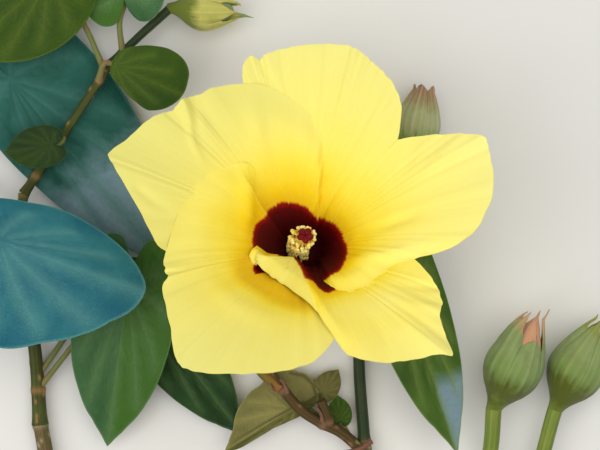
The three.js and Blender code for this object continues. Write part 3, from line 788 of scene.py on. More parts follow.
def make_petal(name, petal, middle, seed):
    piece = flat_sheet(name, *PETAL_GRID)
    t, s = sheet_places(piece)
    t = 1 - t  # From the margin that lies on top
    rim = np.array(petal["rim"], float)
    rim_reach = smooth_through(rim[:, 1], t, 0.7) + RIM_RAGGED * ripple(t, seed, (14, 40))
    opening = np.sin(s * math.pi / 2)
    if "slack" in petal:
        power, full, none = petal["slack"]
        opening += (s**power - opening) * smooth_step(none, full, t)
    share = CLAW_SHARE + (1 - CLAW_SHARE) * opening
    degrees = middle + (smooth_through(rim[:, 0], t, 0.7) - middle) * share
    reach = BLOOM["claw"] + (rim_reach - BLOOM["claw"]) * s**PETAL_CROWD
    x, y = polar(degrees, reach)
    offset = sum(fold_lift(x, y, fold) for fold in petal["folds"])
    offset += smooth_step(0.25, 0.9, s) * BLADE_WAVES * ripple(t, seed + 1, (16, 34))
    waves, dip = margin_waves(t, s, petal, seed)
    offset += waves
    offset -= dip
    past_blotch = reach - np.interp(degrees, *np.array(petal["blotch"], float).T)
    lifted = tone = pale = 0
    if "ear" in petal:
        lifted, beyond_ridge = ear_lift(x, y, petal["ear"])
        lifted = lifted * smooth_step(0.05, 0.45, s)
        past_blotch = np.maximum(past_blotch, beyond_ridge - 0.4)
        pale = EAR_PALE * smooth_step(-0.3, 0.9, beyond_ridge) * smooth_step(27, 20, reach)
        tone = 14 * pale
    put(piece, petal_point(degrees, reach, middle, offset, lifted))
    # Deep lines move the yellow along its ramp: painted shade under the ear's margin on the lower left petal,
    # paler lines elsewhere
    for line, width, amount in petal.get("deep", []):
        tone = tone - amount * hump(near_fold(x, y, line)[0], width)
    mark(piece, "tone", past_blotch + tone)
    mark(piece, "past_blotch", past_blotch)
    # Greyer yellow: the ear past its ridge, and painted shade towards the rims of the upper left petals
    mark(piece, "pale", np.maximum(pale, petal.get("painted_shade", 0) * smooth_step(SHADE_FROM, SHADE_TO, reach)))
    thicken(piece, PETAL_WALL)
    return finish_piece(piece, PETAL, "petal", name)


for number, (petal_name, petal_shape) in enumerate(PETALS.items()):
    make_petal(petal_name, petal_shape, PETAL_START + PETAL_SPACING * number, 10 * number + 5)


# Staminal column, its anthers and the stigma


def wrapped_piece(name, grid, place, marks, skin, slot, node, wall=None, offset=0.0):
    """Piece wrapped round an axis: its place and marks are told by the angle and the share of the way
    along. It is solid, or a shell where a wall is given."""
    piece = flat_sheet(name, *grid)
    t, s = sheet_places(piece)
    angle = 2 * math.pi * t
    put(piece, place(angle, s))
    for key, values in marks(angle, s).items():
        mark(piece, key, values)
    close_seams(piece, fill=wall is None)
    if wall is not None:
        thicken(piece, wall, offset)
    return finish_piece(piece, skin, slot, node)


def throat_lining():
    """Dark well between the column and the petals' claws."""
    def place(angle, s):
        reach = LINING["inner"] + (LINING["outer"] - LINING["inner"]) * s
        return bloom_point(angle, reach, LINING["foot"] + LINING["rise"] * s**2)

    def marks(angle, s):
        return {"tone": -4, "past_blotch": -4 - 2 * s, "pale": 0}

    return wrapped_piece("throat_lining", (60, 10), place, marks, PETAL, "petal", "petal_right", PETAL_WALL)


def bowed(angle, reach, height):
    """Place on the column, which bows to one side and nods."""
    points = bloom_point(angle, reach, height)
    points[..., 0] -= COLUMN_BOW * np.sin(math.pi * height / STIGMA["top"])
    points[..., 1] -= COLUMN_NOD * (height / STIGMA["top"]) ** 2
    return points


def staminal_column():
    def place(angle, s):
        radii, heights = np.array(COLUMN).T
        return bowed(angle, np.maximum(smooth_through(radii, s, 1), 0), smooth_through(heights, s, 1))

    def marks(angle, s):
        return {"up": s}

    return wrapped_piece("staminal_column", (32, 60), place, marks, COLUMN_SKIN, "anther", "staminal_column")


def standing(place, direction, scale, spin):
    """Matrix that stands a model at a layout place with its Z along a direction."""
    turn = Vector(direction).to_track_quat("Z", "Y").to_matrix().to_4x4()
    size = Matrix.Diagonal((scale * MM, scale * MM, scale * MM, 1))
    return Matrix.Translation(Vector((place + SHIFT) * MM)) @ turn @ Matrix.Rotation(spin, 4, "Z") @ size


def bloom_direction(angle, out, up):
    return bloom_point(angle, out, up) - BLOOM["base"]


def ball(segments, rings, radius, centre, stretch):
    """Stretched ball, in a model's own millimetres."""
    deselect()
    bpy.ops.mesh.primitive_uv_sphere_add(segments=segments, ring_count=rings, radius=radius, location=centre)
    piece = bpy.context.active_object
    alone(piece)
    bpy.ops.object.transform_apply(location=True)
    bpy.ops.object.mode_set(mode="EDIT")
    bpy.ops.transform.resize(value=stretch, center_override=centre)
    bpy.ops.object.mode_set(mode="OBJECT")
    return piece


def anther_model():
    """Two-lobed anther on a short filament, in millimetres."""
    lobe = ball(8, 6, 0.5, (0, 0, 1.5), (1.35, 0.85, 0.8))
    for vertex in lobe.data.vertices:
        vertex.co.z -= 0.22 * math.exp(-((vertex.co.x / 0.2) ** 2))
    deselect()
    bpy.ops.mesh.primitive_cone_add(vertices=5, radius1=0.17, radius2=0.1, depth=1.3, location=(0, 0, 0.65))
    filament = bpy.context.active_object
    alone(filament)
    bpy.ops.object.transform_apply(location=True)
    return joined([lobe, filament], "anther")


def anther_places():
    """Places that wind up the column, for larger anthers at its top and low down on its wide side."""
    draw = np.random.default_rng(3)
    found = []
    for i in range(ANTHERS["count"]):
        share = i / (ANTHERS["count"] - 1)
        height = ANTHERS["lowest"] + ANTHERS["rise"] * share**0.9
        angle = i * math.radians(ANTHERS["turn"]) + draw.uniform(-0.2, 0.2)
        lean = 0.05 + 0.35 * share
        size = draw.uniform(0.9, 1.15) * (1.0 + 0.32 * smooth_step(0.4, 0.9, share))
        size *= 1 + 0.25 * math.cos(angle - math.radians(ANTHERS["wide_side"])) * (1 - share)
        foot = bowed(angle, ANTHERS["reach"], height)
        direction = bloom_direction(angle, 1, lean + draw.uniform(-0.2, 0.2))
        found.append(standing(foot, direction, size, draw.uniform(0, math.pi)))
    return found


def stigma_lobe():
    """Velvety lobe of the stigma, lying outwards along X, in millimetres."""
    centre = (0.95, 0, 0)
    lobe = ball(20, 14, 0.8, centre, (1.1, 0.95, 0.85))
    draw = np.random.default_rng(8)
    for vertex in lobe.data.vertices:
        away = (vertex.co - Vector(centre)).normalized()
        vertex.co += away * draw.uniform(-0.05, 0.05)
    return lobe


def stigma_places():
    foot, upwards = bowed(0, 0, STIGMA["foot"]), bloom_direction(0, 0, 1)
    turns = [math.radians(360 / STIGMA["lobes"] * k + STIGMA["turn"]) for k in range(STIGMA["lobes"])]
    return [standing(foot, upwards, STIGMA["scale"], turn) for turn in turns]


def style():
    """Short neck from the column's top to the stigma's lobes."""
    def place(angle, s):
        reach = STYLE["bulge"] * np.sin(math.pi * np.clip(s + 0.04, 0, 0.9)) + STYLE["core"]
        return bowed(angle, reach, STYLE["foot"] + STYLE["length"] * s)

    return wrapped_piece("style", (16, 8), place, lambda angle, s: {}, STIGMA_SKIN, "stigma", "stigma")


throat_lining()
staminal_column()
finish_piece(copies(anther_model(), anther_places(), "anthers"), POLLEN, "anther", "staminal_column")
finish_piece(copies(stigma_lobe(), stigma_places(), "stigma_lobes"), STIGMA_SKIN, "stigma", "stigma")
style()


# Calyx cups


def cup_height(cup, angle, s):
    """Height at a share of the way up a cup's wall, whose rim rises from its notches to its teeth."""
    edge = np.abs(np.cos(cup["teeth"] * angle / 2)) ** (1 / cup["sharp"])
    top = cup["notch"] + (cup["tip"] - cup["notch"]) * edge
    return cup["foot"] + (top - cup["foot"]) * s


def cup_radius(height, **ends):
    heights, radii = np.array(CALYX_WALL).T
    return np.interp(height, heights, radii, **ends)


def keel_lines(cup, angle):
    return hump(np.sin(cup["teeth"] / 2 * angle), 0.35)


def cup_piece(name, grid, place, marks, wall, offset):
    return wrapped_piece(name, grid, place, marks, CALYX_SKIN, "calyx", "calyx_flower", wall, offset)


def flower_calyx():
    def place(angle, s):
        height = cup_height(CALYX, angle, s)
        rib = 0.16 * np.cos(5 * angle) + 0.08 * np.cos(15 * angle)
        return bloom_point(angle, cup_radius(height) + rib * smooth_step(-1, 4, height), height)

    def marks(angle, s):
        return {"up": 0.35 + 0.5 * s, "rib": keel_lines(CALYX, angle) * smooth_step(0.1, 0.4, s), "slit_shade": 0}

    return cup_piece("calyx_flower", (160, 40), place, marks, CALYX["wall"], -1.0)


def calyx_floor():
    """Floor of the flower's calyx, from the stalk's end out to the wall."""
    def place(angle, s):
        height = CALYX_FLOOR["height"] - CALYX_FLOOR["sag"] * np.sin(math.pi * s)
        return bloom_point(angle, CALYX_FLOOR["reach"] * s, height)

    def marks(angle, s):
        return {"up": 0.3, "rib": 0, "slit_shade": 0}

    return cup_piece("calyx_floor", (40, 6), place, marks, CALYX_FLOOR["wall"], 0.0)


def flower_epicalyx():
    """Outer cup of nine short teeth below the calyx."""
    def place(angle, s):
        height = cup_height(OUTER_CUP, angle, s)
        splay = 0.55 + 0.9 * smooth_step(5, 10, height)
        return bloom_point(
            angle, cup_radius(height, left=3.0) + splay - 0.5 * smooth_step(0, -2, height), height
        )

    def marks(angle, s):
        return {"up": 0.15 + 0.4 * s, "rib": keel_lines(OUTER_CUP, angle), "slit_shade": 0}

    return cup_piece("epicalyx_flower", (162, 26), place, marks, OUTER_CUP["wall"], 1.0)


flower_calyx()
calyx_floor()
flower_epicalyx()


# Buds

# Each bud: foot, heading, pitch, size, turn of its teeth, height of the notches between them, height of the
# petals inside, and each tooth's height, outward bend, how slender it is (1 for straight sides) and bulge
BUDS = {
    "bud_lower": {
        "foot": [55.6, -52.6, 9.6], "heading": 66, "pitch": 10, "size": 0.97, "turn": 112, "skin": BUD_SKIN,
        "notch": 20.5, "core": 31.6, "core_skin": PETALS_IN_BUD,
        "teeth": [
            [23.6, -0.2, 0.7, 0], [33, 0.5, 1.15, 0], [27, 0, 1, 0], [29.6, 0.4, 1.3, 1.6],
            [30.4, 0, 0.75, 2.5],
        ],
    },
    "bud_outer": {
        "foot": [73.4, -53, 8.4], "heading": 62, "pitch": 4, "size": 0.95, "turn": 62, "skin": BUD_OLIVE,
        "notch": 25, "core": 26, "core_skin": PETALS_IN_BUD,
        "teeth": [
            [29, 0, 1, 0], [30.6, 0.3, 1.3, 0], [27, 0, 1, 0], [30, 0.1, 1.2, 0.5], [30.6, 0.2, 1.1, 0.6],
        ],
    },
    "bud_back": {
        "foot": [32.2, 18.4, 6], "heading": 80, "pitch": 6, "size": 0.76, "turn": 72, "skin": BUD_CREAM,
        "notch": 25.4, "core": 26, "core_skin": BUD_CREAM,
        "teeth": [[tip, 1, 0.5, 0.4] for tip in (28, 28.6, 27.6, 28.4, 28)],
    },
    "bud_left": {
        "foot": [-37.4, 62.6, 7.2], "heading": -3, "pitch": 4, "size": 0.7, "turn": -38, "skin": BUD_YELLOW,
        "notch": 20, "core": 25, "core_skin": BUD_YELLOW,
        "teeth": [[28, 0.4, 1, 0], [28, 0.4, 1, 0], [27, 0, 1, 0], [27, 0, 1, 0], [33, 3.4, 1.2, 0]],
    },
}


def make_bud(name, bud):
    """Shell of five sepals with the folded petals inside."""
    along, across, up = turned_directions(bud["heading"], bud["pitch"])
    foot = np.array(bud["foot"], float) + along * BUD_SEAT
    heights, radii = np.array(BUD_WALL).T
    size, notch, turn = bud["size"], bud["notch"], math.radians(bud["turn"])
    tips, bends, slenders, bulges = np.array(bud["teeth"], float).T

    def around(angle, radius, height):
        out = np.cos(angle)[..., None] * across + np.sin(angle)[..., None] * up
        return foot + size * (height[..., None] * along + radius[..., None] * out)

    def wall(height):
        return smooth_through(radii, np.interp(height, heights, np.linspace(0, 1, len(heights))), 1)

    def nearest_tooth(angle):
        """Number of each angle's tooth, and how near the angle is to its keel (1) or its notch (0)."""
        turned = ((angle - turn) / (2 * math.pi) * BUD_TEETH) % BUD_TEETH
        return np.round(turned).astype(int) % BUD_TEETH, 1 - 2 * np.abs(turned - np.round(turned))

    def sepal(angle, s):
        number, keel = nearest_tooth(angle)
        height = BUD_START + (notch + (tips[number] - notch) * keel ** slenders[number] - BUD_START) * s
        return number, keel, height

    def sepal_place(angle, s):
        number, keel, height = sepal(angle, s)
        keel_ridge = 0.4 * hump(1 - keel, 0.13) * smooth_step(3, 14, height)
        side_ribs = 0.12 * hump(keel - 0.45, 0.12) * smooth_step(3, 12, height)
        groove = -0.5 * hump(keel, 0.12) * smooth_step(11, notch, height)
        bent = bends[number] * smooth_step(notch, tips[number], height) ** 1.5
        inflated = hump(height - 26, 6.5) * smooth_step(0, 0.45, keel) * smooth_step(14, 20, height)
        radius = wall(np.minimum(height, 29.5)) + keel_ridge + side_ribs + groove + bent
        return around(angle, radius + bulges[number] * inflated, height)

    def sepal_marks(angle, s):
        _, keel, height = sepal(angle, s)
        ribs = hump(1 - keel, 0.1) + 0.5 * hump(keel - 0.45, 0.08) + 0.7 * hump(keel - 0.1, 0.05)
        # Painted shade: spots in a ring at the seams, and lines where the sepals meet above the notches
        seams = hump(np.sin(BUD_PIT_SHADE["count"] / 2 * (angle + BUD_PIT_SHADE["turn"])), 0.3)
        pit_shade = 0.45 * hump(seams - 1, 0.4) * hump(height - BUD_PIT_SHADE["height"], 1.8)
        return {
            "up": height / 30, "rib": np.clip(ribs, 0, 1) * smooth_step(5, 14, height),
            "slit_shade": np.maximum(pit_shade, 0.6 * hump(keel, 0.03) * smooth_step(13, notch, height)),
        }

    def swirl(angle, s):
        """Share of the way from one rolled petal's margin to the next one's."""
        return ((angle + CORE_TWIST * s) / (2 * math.pi) * BUD_TEETH) % 1

    def core_place(angle, s):
        height = CORE_FOOT + (bud["core"] - CORE_FOOT) * s
        rolled = 1 + 0.07 * (1 - swirl(angle, s))
        radius = np.maximum(wall(height) - 1.1, 0.5) * rolled * np.sqrt(np.clip(1.01 - s**8, 0, 1))
        return around(angle, radius * smooth_step(-0.05, 0.1, s), height)

    def core_marks(angle, s):
        # Painted shade along each rolled petal's margin
        return {"up": 0.75 + 0.25 * s, "rib": 0, "slit_shade": 0.7 * hump(swirl(angle, s), 0.06)}

    wrapped_piece(
        name, (190, 60), sepal_place, sepal_marks, bud["skin"], "bud", name, BUD_THICKNESS * size, -1.0
    )
    wrapped_piece(name + "_petals", (120, 50), core_place, core_marks, bud["core_skin"], "bud", name)


for bud_name, bud_shape in BUDS.items():
    make_bud(bud_name, bud_shape)


# Leaves

LEAF_OUTLINE = [
    [0, 1.0], [6, 0.93], [14, 0.87], [35, 0.77], [60, 0.67], [85, 0.59], [110, 0.53], [135, 0.47],
    [155, 0.37], [170, 0.2], [180, 0.05],
]
USUAL_LEAF = {"pitch": 3, "roll": 0, "droop": 0.1}

# Each leaf: its blade's foot, heading, length, breadth and fold upwards (one for both halves, or left and
# right), and the place that its stalk grows from and one on the way. An outline of its own is [degrees,
# share of the length], and "pale" says from where to where along the blade a painted blue-grey sheen
# pales its tip
LEAVES = {
    "leaf_left": {
        "foot": [-83, -4.4, 27], "heading": -19, "pitch": 6, "length": 43, "breadth": [0.45, 1.05],
        "fold": [-14, -6], "skin": "teal", "slot": "leaf_teal",
        "stem": [-77.4, -31, 4.2], "via": [-88, -18, 14],
        "outline": [
            [-180, 0.05], [-170, 0.2], [-155, 0.37], [-135, 0.48], [-110, 0.56], [-90, 0.62], [-70, 0.665],
            [-48, 0.69], [-33.7, 0.76], [-16.7, 0.875], [-7.7, 0.96], [-1, 0.985], [5, 0.975], [14, 0.945],
            [30.6, 0.905], [41.9, 0.87], [55, 0.82], [67.8, 0.77], [84, 0.67], [110, 0.56], [135, 0.47],
            [155, 0.37], [170, 0.2], [180, 0.05],
        ],
    },
    "leaf_upper": {
        "foot": [-84, 42, 5.4], "heading": -50, "pitch": -1, "length": 70, "breadth": [0.56, 0.36],
        "fold": [-2, 4], "droop": 0, "skin": "teal_low", "pale": [0.3, 0.68], "slot": "leaf_teal",
        "stem": [-81.3, -1, 6.6], "via": [-95, 20, 1.4],
    },
    "leaf_olive": {
        "foot": [-52.3, 45.2, 14], "heading": -24, "roll": 6, "length": 21, "breadth": [0.78, 0.82],
        "fold": 5, "skin": "olive", "slot": "leaf_olive", "stem": [-58, 41, 9.1], "via": [-56, 46, 12],
        "outline": [
            [-180, 0.05], [-125, 0.1], [-85, 0.2], [-58, 0.34], [-44, 0.58], [-36, 0.78], [-20, 0.9],
            [0, 0.975], [15, 1.01], [24, 1.03], [35, 1], [47, 0.88], [60, 0.66], [72, 0.48], [86, 0.33],
            [120, 0.12], [180, 0.05],
        ],
    },
    "leaf_inner": {
        "foot": [-71.5, 22.6, 13], "heading": -171, "length": 13, "breadth": 0.8, "fold": 8,
        "skin": "inner", "slot": "leaf_olive", "stem": [-68.6, 25.2, 8.5], "via": [-68.2, 24.4, 9.9],
    },
    "leaf_lower": {
        "foot": [-49, -19, 13], "heading": -99, "pitch": -6, "roll": 6, "length": 46, "breadth": 0.54,
        "fold": 5, "droop": 0.06, "skin": "green", "slot": "leaf_green",
        "stem": [-76.2, -48, 3.5], "via": [-60, -28, 8],
    },
    "leaf_below": {
        "foot": [-44, -25, 5.4], "heading": -53, "pitch": -2, "roll": -4, "length": 45, "breadth": 0.42,
        "fold": 6, "droop": 0.02, "skin": "dark", "pale": [0.75, 1.05], "slot": "leaf_green",
        "stem": [-76.4, -44, 3.6], "via": [-60, -24, 2],
    },
    "leaf_corner": {
        "foot": [-72, 69, 15], "heading": -140, "length": 32, "breadth": 0.9, "fold": 5,
        "skin": "olive", "slot": "leaf_olive", "stem": [-56, 44, 9.1], "via": [-62, 58, 12],
    },
    "leaf_tip": {
        "foot": [-50.5, 67, 13], "heading": 98, "length": 28, "breadth": 0.8, "fold": 5,
        "skin": "green", "slot": "leaf_green", "stem": [-51, 49.4, 8.6], "via": [-51.6, 58, 11],
    },
    "leaf_folded": {
        "foot": [-2.4, -53.6, 4.6], "heading": -149, "pitch": 5, "length": 22.5, "breadth": [0.25, 0.85],
        "fold": [8, 3], "droop": 0, "skin": "brown", "slot": "leaf_young",
        "stem": [9.2, -58.6, 5.8], "via": [6.2, -56.6, 1.8],
        "outline": [
            [-180, 0.41], [-166, 0.43], [-148, 0.5], [-124, 0.56], [-105, 0.63], [-88, 0.62], [-72, 0.6],
            [-60, 0.65], [-34, 0.74], [-15, 0.81], [-4, 0.92], [0, 1], [8, 0.97], [20, 0.86], [30, 0.62],
            [44, 0.46], [70, 0.44], [96, 0.5], [128, 0.49], [160, 0.4], [180, 0.41],
        ],
        # Lines darkened with painted shade along the creases
        "shaded_creases": [
            [[-4, -0.3], [9.5, -1.1], [19.6, -1.1]], [[-3, 3.2], [9, 3.6], [19, 1.8]],
            [[-5.1, -11.1], [-8.1, -7.7], [-8.9, -4], [-8.3, 0]],
        ],
    },
    "leaf_young_upper": {
        "foot": [6.9, -48.3, 3.2], "heading": 56, "pitch": 6, "length": 7.6, "breadth": 0.85, "fold": 6,
        "skin": "young", "slot": "leaf_young", "stem": [7.2, -57.6, 6.6], "via": [6.2, -53.8, 3],
    },
    "leaf_young_lower": {
        "foot": [11.6, -56.2, 3.7], "heading": 96, "pitch": 4, "length": 6.8, "breadth": 0.9, "fold": 4,
        "skin": "olive", "slot": "leaf_young", "stem": [14.4, -62.2, 4], "via": [13.2, -59.6, 2.6],
    },
    "leaf_right": {
        "foot": [26.5, -10.5, 13], "heading": -71, "pitch": -1, "roll": -8, "length": 58, "breadth": 0.33,
        "fold": 8, "droop": 0.04, "skin": "right", "pale": [0.55, 0.75], "sheen_side": [-3, 3],
        "slot": "leaf_green", "stem": [17.8, -20, 2.9], "via": [21, -8, 8],
    },
}


def leaf_veins(length):
    """Main veins from the foot and side veins off them, as broken lines on the flat blade."""
    mains, sides = [], []
    for spread, reach in ((0, 0.97), (27, 0.74), (56, 0.6), (92, 0.5), (132, 0.38)):
        for side in (1, -1) if spread else (1,):
            line = []
            for f in np.linspace(0, 1, 7):
                angle = math.radians(side * spread * (1 - 0.16 * f))
                line.append([f * reach * length * math.cos(angle), f * reach * length * math.sin(angle)])
            mains.append(line)
            for f in (0.34, 0.52, 0.7, 0.84):
                for turn in (side,) if spread else (1, -1):
                    start = np.array(line[0]) * (1 - f) + np.array(line[-1]) * f
                    heading = math.radians(side * spread * 0.84 + turn * 46)
                    run = length * 0.3 * (1.05 - f)
                    bend = heading - turn * math.radians(16)
                    middle = start + run * 0.5 * np.array([math.cos(heading), math.sin(heading)])
                    end = middle + run * 0.5 * np.array([math.cos(bend), math.sin(bend)])
                    sides.append([start, middle, end])
    return mains, sides


def nearest_gap(x, y, lines):
    return np.min([near_line(x, y, line)[0] for line in lines], axis=0)


def leaf_outline(leaf, angle):
    """Reach of the blade's margin at each angle, as a share of the length."""
    if "outline" in leaf:
        degrees, shares = np.array(leaf["outline"]).T
        turn = np.degrees(angle)
    else:
        degrees, shares = np.array(LEAF_OUTLINE).T
        turn = np.degrees(np.abs(angle))
    return smooth_through(shares, np.interp(turn, degrees, np.linspace(0, 1, len(degrees))), 0.9)


def make_leaf(name, leaf, seed):
    along, across, up = turned_directions(leaf["heading"], leaf["pitch"], leaf["roll"])
    length = leaf["length"]
    small = length < SMALL_LEAF
    piece = flat_sheet(name, *(SMALL_LEAF_GRID if small else LEAF_GRID))
    t, s = sheet_places(piece)
    angle = math.pi * (2 * t - 1)
    reach = s * (leaf_outline(leaf, angle) * (1 + 0.006 * ripple(t, seed, (5, 13)))) * length
    ahead, flat_aside = reach * np.cos(angle), reach * np.sin(angle)
    left = flat_aside > 0
    aside = flat_aside * np.where(left, *np.broadcast_to(leaf["breadth"], 2))
    folds = np.broadcast_to(leaf["fold"], 2)
    fold = np.radians(np.where(left, *folds))
    mains, sides = leaf_veins(length)
    width = length / 50
    main_gap, side_gap = nearest_gap(ahead, flat_aside, mains), nearest_gap(ahead, flat_aside, sides)
    relief = -0.2 * width * hump(main_gap, 1.3 * width) - 0.1 * width * hump(side_gap, 1.1 * width)
    relief += 0.35 * width * smooth_step(0, 4 * width, np.minimum(main_gap, 1.6 * side_gap))
    relief *= smooth_step(1.0, 0.86, s)
    wave = 0.02 * length * s**4 * ripple(t, seed + 1, (2, 5)) * (1 - WAVE_LOST_PER_DEGREE * abs(folds[0]))
    height = np.sin(fold) * np.abs(aside) - leaf["droop"] * ahead**2 / length + relief + wave
    points = (
        np.array(leaf["foot"], float) + ahead[:, None] * along
        + (aside * np.cos(fold))[:, None] * across + height[:, None] * up
    )
    put(piece, points)
    lay_map(piece, ahead / LEAF_MAP, flat_aside / LEAF_MAP)
    veins = hump(main_gap, 0.55 * width) * (1 - 0.6 * s) + 0.5 * hump(side_gap, 0.4 * width)
    mark(piece, "vein", np.clip(veins, 0, 1))
    # Mark for the painted sheen along the main veins
    mark(piece, "band", hump(main_gap, 3.4 * width) * smooth_step(0, 0.15, s))
    mark(piece, "margin", smooth_step(0.975, 1.0, s))
    mark(piece, "left_half", smooth_step(-0.4, 0.4, flat_aside))
    # Where a painted blue-grey sheen pales the tip, along the blade and, where given, across it
    tip_sheen = smooth_step(*leaf.get("pale", [2, 3]), ahead / length)
    if "sheen_side" in leaf:
        tip_sheen = tip_sheen * smooth_step(*leaf["sheen_side"], flat_aside)
    mark(piece, "tip_sheen", tip_sheen)
    # Lines of painted shade along the creases of a folded leaf
    shaded_creases = leaf.get("shaded_creases")
    mark(piece, "crease_shade", hump(nearest_gap(ahead, flat_aside, shaded_creases), 0.45) if shaded_creases else 0)
    close_seams(piece, fill=False)
    thicken(piece, SMALL_LEAF_WALL if small else LEAF_WALL)
    return finish_piece(piece, LEAF_SKINS[leaf["skin"]], leaf["slot"], name)


# Stems and leaf stalks


def corky_spots(t, run, radius, length, seed, count):
    """Marks of corky spots, scattered round and along a limb."""
    draw = np.random.default_rng(seed)
    spot = np.zeros_like(t)
    for _ in range(count):
        turn, place, long = draw.uniform(0, 1), draw.uniform(0.02, 0.98), draw.uniform(0.4, 0.8)
        gap = np.abs(t - turn)
        round_gap = np.minimum(gap, 1 - gap) * 2 * math.pi * radius
        spot = np.maximum(spot, hump(round_gap, SPOT_BREADTH) * hump(run - place * length, long))
    return spot


def make_limb(name, route, foot, tip, skin, slot, seed, joints=(), spots=0, ridges=0.05, flare=0.0,
              around=30, node=None):
    """Tapering limb along a route, with long ridges, corky spots and swollen joints."""
    _, length = even_places(route, 2)
    along = max(14, int(length / LIMB_STEP))
    piece = flat_sheet(name, around, along)
    centres, _ = even_places(route, along + 1)
    _, sides, ups = carried_frames(centres)
    t, s = sheet_places(piece)
    ring = np.round(s * along).astype(int)
    angle = 2 * math.pi * t
    run = s * length
    radius = foot + (tip - foot) * s + flare * np.exp(-run / FLARE_RUN)
    rough = ripple(t, seed, (5, 12)) * (0.6 + 0.4 * ripple(s, seed + 1, (3, 9)))
    joint = np.zeros_like(s)
    for place in joints:
        joint = np.maximum(joint, hump(run - place * length, 1.0))
    spot = corky_spots(t, run, radius, length, seed, spots)
    radius = radius + ridges * rough + 0.22 * joint * foot / 2 + 0.12 * spot
    points = (
        centres[ring] + (radius * np.cos(angle))[:, None] * sides[ring]
        + (radius * np.sin(angle))[:, None] * ups[ring]
    )
    put(piece, points)
    lay_map(piece, t, run / 10)
    mark(piece, "spot", spot)
    mark(piece, "joint", joint)
    close_seams(piece)
    return finish_piece(piece, skin, slot, node or name)


def leaf_stalk(name, leaf, seed):
    """Stalk from the stem to just under the blade's foot."""
    along, _, up = turned_directions(leaf["heading"], leaf["pitch"])
    end = np.array(leaf["foot"], float) - up * STALK_DROP
    lead = min(3, leaf["length"] / 6)
    before = end - lead * along - 0.53 * lead * up
    return make_limb(
        name, [leaf["stem"], leaf["via"], before, end], 0.85, 0.75, LEAF_STALK, "green_stem", seed,
        joints=(0.97,), ridges=0.03, flare=0.35, around=20,
    )


for number, (leaf_name, leaf_shape) in enumerate(LEAVES.items()):
    leaf_shape = {**USUAL_LEAF, **leaf_shape}
    make_leaf(leaf_name, leaf_shape, 100 + 10 * number)
    leaf_stalk(leaf_name.replace("leaf", "petiole"), leaf_shape, 300 + number)

# Places that two or more stems share
FORK = [18.7, -62.5, 2.2]
SHOOT_JOINT = [-75.6, -58, 3]
SHOOT_BEND = [-79.6, 9, 7.4]
SHOOT_TOP = [-54.8, 46, 9]
BUD_FORK = [41, -91.4, 3.4]
STEM_CUT = [-26, -142, 4.4]
TWIG_TOP = [-5.4, -46.8, 8.2]
PEDICEL = [TWIG_TOP, [-11.4, -41.6, 8], [-13.6, -34, 7.2], [-9.4, -24.6, 6.6], [-2.6, -17, 8]]

# Each stem: route, radius at the foot and at the tip, skin, places of its joints as shares of its length,
# and number of corky spots
STEMS = {
    "stem_main": (
        [STEM_CUT, [-11, -125, 4.1], [5, -109, 3.7], [15, -94, 3.1], [19.6, -79, 2.6], FORK],
        4.3, 1.9, BARK, (0.22, 0.58, 0.8), 70,
    ),
    "stem_upper": (
        [FORK, [17.2, -37, 2.4], [19.2, -10, 3.2], [26.4, 8, 4.6], BUDS["bud_back"]["foot"]],
        1.8, 1.5, STEM, (0.0, 0.5), 0,
    ),
    "twig_flower": (
        [[18.9, -66.5, 2.3], [11.8, -60.1, 4.8], [5.9, -57, 7], [0, -53, 8.2], TWIG_TOP],
        1.6, 1.5, TWIG, (0.5, 0.97), 14,
    ),
    "twig_left_lower": (
        [[-11.5, -125.6, 4.1], [-36, -114.5, 3.2], [-58, -99.5, 2.9], [-70.6, -80, 2.7], SHOOT_JOINT],
        3, 2.1, BARK, (0.35, 0.7, 1.0), 46,
    ),
    "twig_left_middle": (
        [SHOOT_JOINT, [-76.8, -38, 3.8], [-79.6, -18, 5], [-81.4, -2, 6.5], SHOOT_BEND],
        2.1, 1.4, SHOOT, (0.15, 0.4, 0.84, 1.0), 26,
    ),
    "twig_left_upper": (
        [SHOOT_BEND, [-67.6, 26.6, 8.6], [-60.4, 37.4, 9], SHOOT_TOP], 1.3, 1.15, SHOOT, (0.14, 0.88), 14,
    ),
    "twig_left_tip": (
        [SHOOT_TOP, [-46.2, 54.4, 8.2], BUDS["bud_left"]["foot"]], 1.1, 1.3, STEM, (0.0, 0.2), 0,
    ),
    "twig_buds": ([[15.2, -93.6, 3.1], [28, -94.6, 3], BUD_FORK], 2.4, 2.1, STALK, (0.8,), 0),
    "stalk_bud_lower": (
        [BUD_FORK, [51.6, -80.6, 5.2], [54.8, -65.4, 7.6], BUDS["bud_lower"]["foot"]],
        2.1, 2.3, STALK, (0.0,), 0,
    ),
    "stalk_bud_outer": (
        [[37.5, -92.6, 3.3], [55, -91.5, 3.6], [67, -75, 5.4], BUDS["bud_outer"]["foot"]],
        1.9, 2.2, STALK, (0.06,), 0,
    ),
    "stub": ([[9, -58.6, 5.9], [7.8, -54.6, 8.8], [6, -50.4, 9.8]], 1, 1.4, TWIG, (0.3,), 0),
}

for number, (stem_name, (route, foot, tip, skin, joints, spots)) in enumerate(STEMS.items()):
    woody = skin in (BARK, TWIG, SHOOT)
    make_limb(
        stem_name, route, foot, tip, skin, "bark" if woody else "green_stem", 500 + number, joints, spots,
        ridges=0.09 if woody else 0.04, flare=0.0 if stem_name in ("stem_main", "stem_upper") else 0.4,
        around=40,
    )

cut, inward = np.array(STEM_CUT), unit([15, 17, -0.3])
make_limb(
    "cut_face", [cut + inward, cut + 0.5 * inward, cut - 0.1 * inward], CUT_RADIUS, CUT_RADIUS, CUT_WOOD,
    "bark", 530, ridges=0.02, around=40, node="stem_main",
)

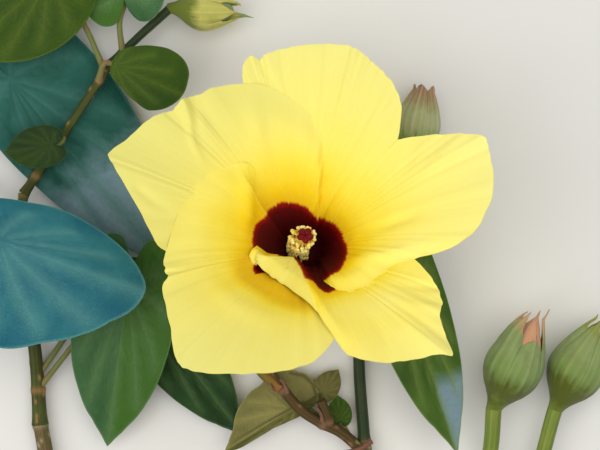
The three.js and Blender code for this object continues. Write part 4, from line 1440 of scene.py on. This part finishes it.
pedicel_top = [bloom_point(0.0, 0.0, height) for height in (-5.8, -1.4)]
make_limb(
    "pedicel_flower", PEDICEL + pedicel_top, 1.6, 1.9, PEDICEL_SKIN, "green_stem", 540, joints=(0.02,),
    flare=0.3,
)

# Scales at the joints: line, radius at the foot, skin and the solid that they belong to
SCALES = [
    ([[-5.4, -46.2, 9.2], [-6.6, -43.4, 10.4], [-7.6, -41, 10.6]], 0.85, TWIG, "twig_flower"),
    ([[-3.6, -48.2, 9.4], [-4.6, -45.6, 10.4], [-5.8, -44.2, 10.6]], 0.6, BLUSH, "twig_flower"),
    ([[-6.8, -47.6, 8.6], [-8, -46.8, 9.8], [-8.6, -45.4, 10.2]], 0.6, BLUSH, "twig_flower"),
    ([[6.4, -56.4, 8], [6, -54, 10.2], [4.4, -51.6, 11]], 0.7, BLUSH, "stub"),
    ([[20.6, -62.8, 3.4], [17.4, -64.8, 5], [12.2, -65.6, 5.2]], 1.05, BLUSH, "twig_flower"),
    ([[16, -64.6, 3.6], [20, -66.4, 4.6], [22.4, -69.6, 4.4]], 0.9, BLUSH, "twig_flower"),
    ([[15.8, -62.6, 3.8], [16.6, -63, 4.8], [17.6, -63.6, 4.9]], 0.8, LEAF_STALK, "twig_flower"),
]

for number, (line, radius, skin, node) in enumerate(SCALES):
    make_limb(
        "scale_%d" % number, line, radius, 0.15, skin, "bark", 700 + number, ridges=0.03, around=16, node=node
    )


# Floor, light and camera

deselect()
bpy.ops.mesh.primitive_plane_add(size=FLOOR_SIZE * MM, location=(0, 0, -FLOOR_DROP * MM))
floor = bpy.context.active_object
floor.name = "floor"
floor.data.materials.append(floor_finish())


def soft_light(name, place, size, power, colour):
    lamp = bpy.data.lights.new(name, "AREA")
    lamp.size, lamp.energy, lamp.color = size, power, colour
    light = bpy.data.objects.new(name, lamp)
    light.location = place
    light.rotation_euler = (-Vector(place)).to_track_quat("-Z", "Y").to_euler()
    bpy.context.collection.objects.link(light)


# Place and size in metres, power in watts and colour
soft_light("key_light", (0.16, 0.1, 0.68), 0.8, 3.1, (1.0, 0.98, 0.94))
soft_light("side_light", (-0.42, -0.15, 0.55), 0.6, 2.15, (1.0, 0.99, 0.96))

world = bpy.data.worlds.new("studio")
bpy.context.scene.world = world
world.use_nodes = True
daylight = world.node_tree.nodes["Background"].inputs
daylight["Color"].default_value = (0.95, 0.97, 1.0, 1.0)
daylight["Strength"].default_value = DAYLIGHT
bpy.context.scene.view_settings.view_transform = "Standard"

camera_data = bpy.data.cameras.new("camera")
camera_data.lens, camera_data.sensor_width = CAMERA_LENS, CAMERA_SENSOR
camera = bpy.data.objects.new("camera", camera_data)
camera.location = (np.array([0, 0, CAMERA_HEIGHT]) + SHIFT) * MM
bpy.context.collection.objects.link(camera)
bpy.context.scene.camera = camera
